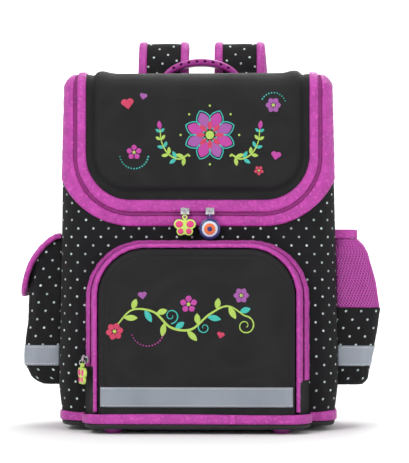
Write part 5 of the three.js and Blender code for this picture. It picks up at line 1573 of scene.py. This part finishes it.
def facing_round(name, centre, way, profile, material, flat=1.0):
    """A round form about a level axis that points along way; profile is (radius, height along way)."""
    out = np.array([way[0], way[1], 0.0])
    aside = np.array([-way[1], way[0], 0.0])
    around = np.linspace(0, 2 * math.pi, 32, endpoint=False)
    ring = np.outer(np.cos(around), aside) + np.outer(flat * np.sin(around), [0, 0, 1])
    rows = [centre + out * high + radius * ring for radius, high in profile]
    return closed_tube(name, np.array(rows), material)


NICKEL = nickel("nickel")
CHARM_GREEN = plastic("charm_yellow_green", (0.55, 0.78, 0.14), 0.4)
CHARM_PINK = plastic("charm_pink", (0.72, 0.05, 0.22), 0.4)
CHARM_BLUE = plastic("charm_navy", (0.022, 0.03, 0.17), 0.35)
CHARM_PALE = plastic("charm_pale", (0.62, 0.7, 0.78), 0.4)
CHARM_CORAL = plastic("charm_coral", (0.8, 0.16, 0.04), 0.4)
EYE_RADIUS, CHARM_HEIGHT, CHARM_THICK = 2.7, 21.06, 3.0
# Each pair of wings: radius, place beside the middle and below the eye as shares of the charm, and roundness.
WINGS = [(0.28, 0.266, 0.35, 0.9), (0.21, 0.2, 0.7, 1.0)]
for label, turn in (("lid_pull_left", 0.0), ("lid_pull_right", 0.0), ("pocket_pull", math.radians(-68.8))):
    fit(solid_copy(label + "_slider_metal", label + "_slider", NICKEL, 0.25, 3), "nickel", label + "_slider")
    ring = solid_copy(label + "_ring_metal", label + "_ring", NICKEL)
    finer = ring.modifiers.new("round wire", "SUBSURF")
    finer.levels = finer.render_levels = 2
    fit(ring, "nickel", label + "_ring")
    low, high = (np.array(corner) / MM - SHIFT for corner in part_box(label + "_charm"))
    way = np.array([math.sin(turn), -math.cos(turn)])
    aside = np.array([math.cos(turn), math.sin(turn)])
    middle = (low + high) / 2
    if label == "lid_pull_right":
        fit(solid_copy("badge_rubber", label + "_charm", CHARM_BLUE, 0.35, 3), "charm_blue", label + "_charm")
        centre = np.array([middle[0], high[1] - CHARM_THICK / 2, low[2] + 10.9])
        for layer, material, profile in (
                ("badge_pale", CHARM_PALE,
                 [(8.3, 1.0), (8.3, 1.55), (8.0, 1.85), (7.0, 2.05), (4.0, 2.35), (0.4, 2.5)]),
                ("badge_coral", CHARM_CORAL, [(5.9, 1.9), (5.9, 2.4), (5.6, 2.6), (3.0, 2.8), (0.4, 2.85)]),
                ("badge_middle", CHARM_BLUE, [(2.6, 2.6), (2.6, 2.95), (2.3, 3.1), (0.4, 3.2)])):
            fit(facing_round(layer, centre, way, profile, material), "charm_blue")
        continue
    fit(solid_copy(label + "_wings_rubber", label + "_charm", CHARM_GREEN, 0.5, 3), "charm_green",
        label + "_charm")
    eye = high[2] - EYE_RADIUS
    for side in (-1, 1):
        for k, (radius, out, drop, flat) in enumerate(WINGS):
            spot = middle[:2] + aside * side * out * CHARM_HEIGHT * 1.02
            centre = np.array([spot[0], spot[1], eye - drop * CHARM_HEIGHT])
            size = radius * CHARM_HEIGHT * 0.68
            dome = [(size * part, high)
                    for part, high in ((1, 1.2), (1, 1.6), (0.9, 1.95), (0.55, 2.2), (0.1, 2.25))]
            fit(facing_round("%s_wing_%s_%d" % (label, "ab"[side > 0], k), centre, way, dome, CHARM_PINK, flat),
                "magenta_plastic")


# Embroidery: raised satin stitch in five thread colours. A round bloom between two leafy sprays is on the lid,
# and a leafy vine on the pocket.
def embroidery_thread(name, colour):
    """Glossy thread laid side by side across each stitched shape, with painted highlight on each thread and
    painted shade between threads.
    """
    finish = Finish(name, colour, 0.38)
    cloth = finish.add("UVMap", uv_map="cloth").outputs[0]
    parts = finish.add("SeparateXYZ", inputs={0: cloth})
    slant = finish.math("ADD", parts.outputs["Y"], finish.math("MULTIPLY", parts.outputs["X"], 0.45))
    threads = finish.wave(slant, 0.00055)
    finish.bump(threads, 0.9, 0.00012)
    # Painted highlight and shade: the colour follows the threads' height, lighter on each thread and darker in the
    # grooves between.
    finish.colour(finish.blend(finish.ramp(threads, -1, 1), tint(colour, 0.62), tint(colour, 1.15)))
    finish.shader.inputs["Sheen Weight"].default_value = 0.2
    return finish.material


THREADS = {
    "turquoise": embroidery_thread("thread_turquoise", (0.045, 0.60, 0.52)),
    "magenta": embroidery_thread("thread_magenta", (0.62, 0.05, 0.42)),
    "crimson": embroidery_thread("thread_crimson", (0.74, 0.04, 0.13)),
    "green": embroidery_thread("thread_yellow_green", (0.52, 0.76, 0.12)),
    "orchid": embroidery_thread("thread_orchid", (0.42, 0.10, 0.44)),
}


def heading_at(angle):
    """The direction of an angle in degrees."""
    return np.array([math.cos(math.radians(angle)), math.sin(math.radians(angle))])


def line_stroke(points, half, level=0.35):
    """A stitched line: its spine, half widths and level above the cloth."""
    points = np.asarray(points, float)
    return points, np.broadcast_to(np.asarray(half, float), len(points)), level


def petal(centre, angle, start, end, half, fat=1.0, level=0.3):
    """A filled leaf or petal that points along an angle in degrees; fat above 1 moves its width outwards."""
    share = np.linspace(0, 1, 15)
    spine = np.asarray(centre) + np.outer(start + (end - start) * share, heading_at(angle))
    return spine, 0.12 + half * np.sin(math.pi * share ** fat) ** 0.8, level


def petal_rim(centre, angle, start, end, half, fat, thread):
    """The stitched outline of such a petal."""
    spine, wide, _ = petal(centre, angle, start, end, half, fat)
    across = heading_at(angle + 90)
    sides = np.vstack([spine + across * wide[:, None], (spine - across * wide[:, None])[::-1]])
    return line_stroke(sides, thread, 0.5)


def dot(centre, radius, level=0.3):
    s = np.sin(np.linspace(-math.pi / 2, math.pi / 2, 11))
    return np.asarray(centre) + np.outer(s * radius, [1, 0]), radius * np.sqrt(1 - s * s) + 0.04, level


def arc_dots(centre, radius, first, last, count, size):
    return [dot(np.asarray(centre) + radius * heading_at(a), size * (0.6 + 0.4 * k / count))
            for k, a in enumerate(np.linspace(first, last, count))]


def blossom(art, centre, radius, count, colour, turn=0.0):
    for i in range(count):
        art[colour].append(petal(centre, turn + 360 * i / count, radius * 0.2, radius, radius * 0.34, 1.25))
    art["green"].append(dot(centre, radius * 0.2, 0.5))


def heart(art, centre, size, colour, tilt=0.0):
    """Two round-topped lobes that share a point at the foot."""
    share = np.linspace(0, 1, 21)
    reach, lobe = 1.15 * size, 0.34 * size
    top = 1 - lobe / reach
    rounded = np.sqrt(np.clip(lobe ** 2 - ((share - top) * reach) ** 2, 0, None))
    wide = np.where(share < top, lobe * share / top, rounded)
    for lean in (-22, 22):
        spine = np.asarray(centre) + np.outer(reach * share, heading_at(90 + tilt + lean))
        art[colour].append((spine, 0.12 + wide, 0.3))


def curl(centre, radius, first, turns, half):
    """A line that winds in to its end."""
    share = np.linspace(0, 1, 44)
    angle = math.radians(first) + 2 * math.pi * turns * share
    reach = radius * (1 - 0.82 * share)
    points = np.asarray(centre) + np.column_stack([reach * np.cos(angle), reach * np.sin(angle)])
    return line_stroke(points, half * (1 - 0.5 * share))


def bent(points, samples):
    """A smooth flat line through knots."""
    return smooth_line([(x, 0, z) for x, z in points], samples)[0][:, [0, 2]]


def stitch_art(name, art, surface, slot):
    """One raised mesh for each thread colour; surface gives points from (x, height, rise)."""
    columns = 7
    share = np.sin(np.linspace(-math.pi / 2, math.pi / 2, columns))
    dome = 0.4 * np.sqrt(np.clip(1 - share ** 2, 0, 1))
    for colour, strokes in art.items():
        points, faces, corners, first = [], [], [], 0
        for spine, half, level in strokes:
            way = np.gradient(spine, axis=0)
            way /= np.maximum(np.linalg.norm(way, axis=1, keepdims=True), 1e-9)
            across = np.column_stack([-way[:, 1], way[:, 0]])
            aside = half[:, None] * share[None]
            flat = spine[:, None] + across[:, None] * aside[..., None]
            crown = level + dome[None] * np.clip(half / 1.5, 0.35, 1)[:, None]
            top = surface(flat[..., 0], flat[..., 1], crown)
            under = surface(flat[..., 0], flat[..., 1], np.full(crown.shape, -0.25))
            rows, count = aside.shape[0], aside.size
            uv = np.stack([aside, np.broadcast_to(strip_lengths(spine)[:, None], aside.shape)], axis=-1)
            points += [top.reshape(-1, 3), under.reshape(-1, 3)]
            for r in range(rows - 1):
                for c in range(columns - 1):
                    quad = [r * columns + c, r * columns + c + 1, (r + 1) * columns + c + 1, (r + 1) * columns + c]
                    flat_uv = [uv[q // columns, q % columns] for q in quad]
                    faces += [[first + q for q in quad], [first + count + q for q in quad[::-1]]]
                    corners += [flat_uv, flat_uv[::-1]]
            ring = ([(0, c) for c in range(columns)] + [(r, columns - 1) for r in range(1, rows)]
                    + [(rows - 1, c) for c in range(columns - 2, -1, -1)]
                    + [(r, 0) for r in range(rows - 2, 0, -1)])
            for (ra, ca), (rb, cb) in zip(ring, ring[1:] + ring[:1]):
                a, b = first + ra * columns + ca, first + rb * columns + cb
                faces.append([b, a, a + count, b + count])
                corners.append([uv[rb, cb], uv[ra, ca], uv[ra, ca], uv[rb, cb]])
            first += 2 * count
        if faces:
            fit(mesh_piece("%s_%s" % (name, colour), np.concatenate(points), faces, THREADS[colour], corners),
                slot)


def lid_face(x, v, high):
    base = lid_point(x, v, lid_rise(x, v))
    out = body_normal(base)
    return base + out * (0.25 * noise3(base, 60, 5)[..., None] + high[..., None])


lid_art = {colour: [] for colour in THREADS}
BLOOM = np.array([13.0, 309.0])
for i in range(8):
    angle = 45 * i + 22.5
    lid_art["magenta" if i % 2 else "orchid"].append(petal(BLOOM, angle, 7.5, 25, 5.6, 1.15))
    lid_art["turquoise"].append(petal_rim(BLOOM, angle, 6.5, 27, 6.9, 1.15, 0.55))
    lid_art["crimson"].append(petal(BLOOM, 45 * i, 5.0, 14.5, 2.4, 1.0, 0.55))
    lid_art["green"].append(dot(BLOOM + 30.5 * heading_at(45 * i), 1.15))
lid_art["green"].append(dot(BLOOM, 4.4, 0.6))
lid_art["turquoise"] += arc_dots(BLOOM, 6.0, 0, 330, 12, 0.7)
for side in (-1, 1):
    stem = bent([BLOOM + np.array(k) * np.array([side, 1]) for k in
                 ((22, -20), (32, -25), (43, -20), (50, -8), (52, 6))], 60)
    lid_art["green"].append(line_stroke(stem, np.linspace(1.0, 0.5, len(stem))))
    heading = np.degrees(np.arctan2(*np.gradient(stem, axis=0).T[::-1]))
    for k, at in enumerate((6, 16, 26, 36, 46, 55)):
        for lean in (-48, 48):
            lid_art["turquoise" if k % 2 else "green"].append(
                petal(stem[at], heading[at] + lean, 0.6, 9.5 - 0.7 * k, 2.0 - 0.12 * k))
    lid_art["magenta"].append(petal(stem[-1], heading[-1], 0, 9, 2.2))
heart(lid_art, (-72, 336), 10, "crimson", 8)
heart(lid_art, (-57, 346), 6, "orchid", -12)
lid_art["turquoise"] += arc_dots((-66, 289), 15, 190, 350, 15, 1.0)
blossom(lid_art, (-66, 291), 8, 5, "magenta", 90)
blossom(lid_art, (79, 340), 8, 6, "orchid", 0)
lid_art["turquoise"] += arc_dots((79, 340), 13, 20, 150, 11, 0.9)
heart(lid_art, (81, 283), 8, "magenta", -10)
blossom(lid_art, (64, 272), 5, 5, "crimson", 54)
stitch_art("lid_embroidery", lid_art, lid_face, "moulded_fabric")

pocket_art = {colour: [] for colour in THREADS}
vine = bent([(-82, 112), (-66, 128), (-44, 126), (-26, 110), (-6, 108), (14, 124), (32, 132), (50, 122)], 150)
pocket_art["green"].append(line_stroke(vine, 0.7 + 0.5 * np.sin(np.linspace(0, math.pi, len(vine)))))
heading = np.degrees(np.arctan2(*np.gradient(vine, axis=0).T[::-1]))
for k, at in enumerate(range(10, 146, 12)):
    odd = k % 2
    pocket_art["turquoise" if k % 3 == 2 else "green"].append(
        petal(vine[at], heading[at] + (52 if odd else -52), 0.8, 15 - 3 * odd, 3.0))
pocket_art["green"].append(curl((50, 112), 10, 90, -1.4, 0.8))
pocket_art["turquoise"].append(curl((-26, 122), 8, -90, 1.3, 0.7))
pocket_art["turquoise"].append(curl((8, 110), 7, 100, 1.3, 0.7))
blossom(pocket_art, (-84, 106), 9, 6, "crimson", 10)
blossom(pocket_art, (-8, 134), 9, 5, "magenta", 18)
blossom(pocket_art, (46, 143), 8, 6, "orchid", 0)
pocket_art["magenta"] += arc_dots((-50, 108), 17, 200, 340, 14, 0.9)
heart(pocket_art, (-55, 139), 7, "orchid", 6)
heart(pocket_art, (24, 99), 6, "crimson", -14)
stitch_art("pocket_embroidery", pocket_art, panel_front, "moulded_fabric")
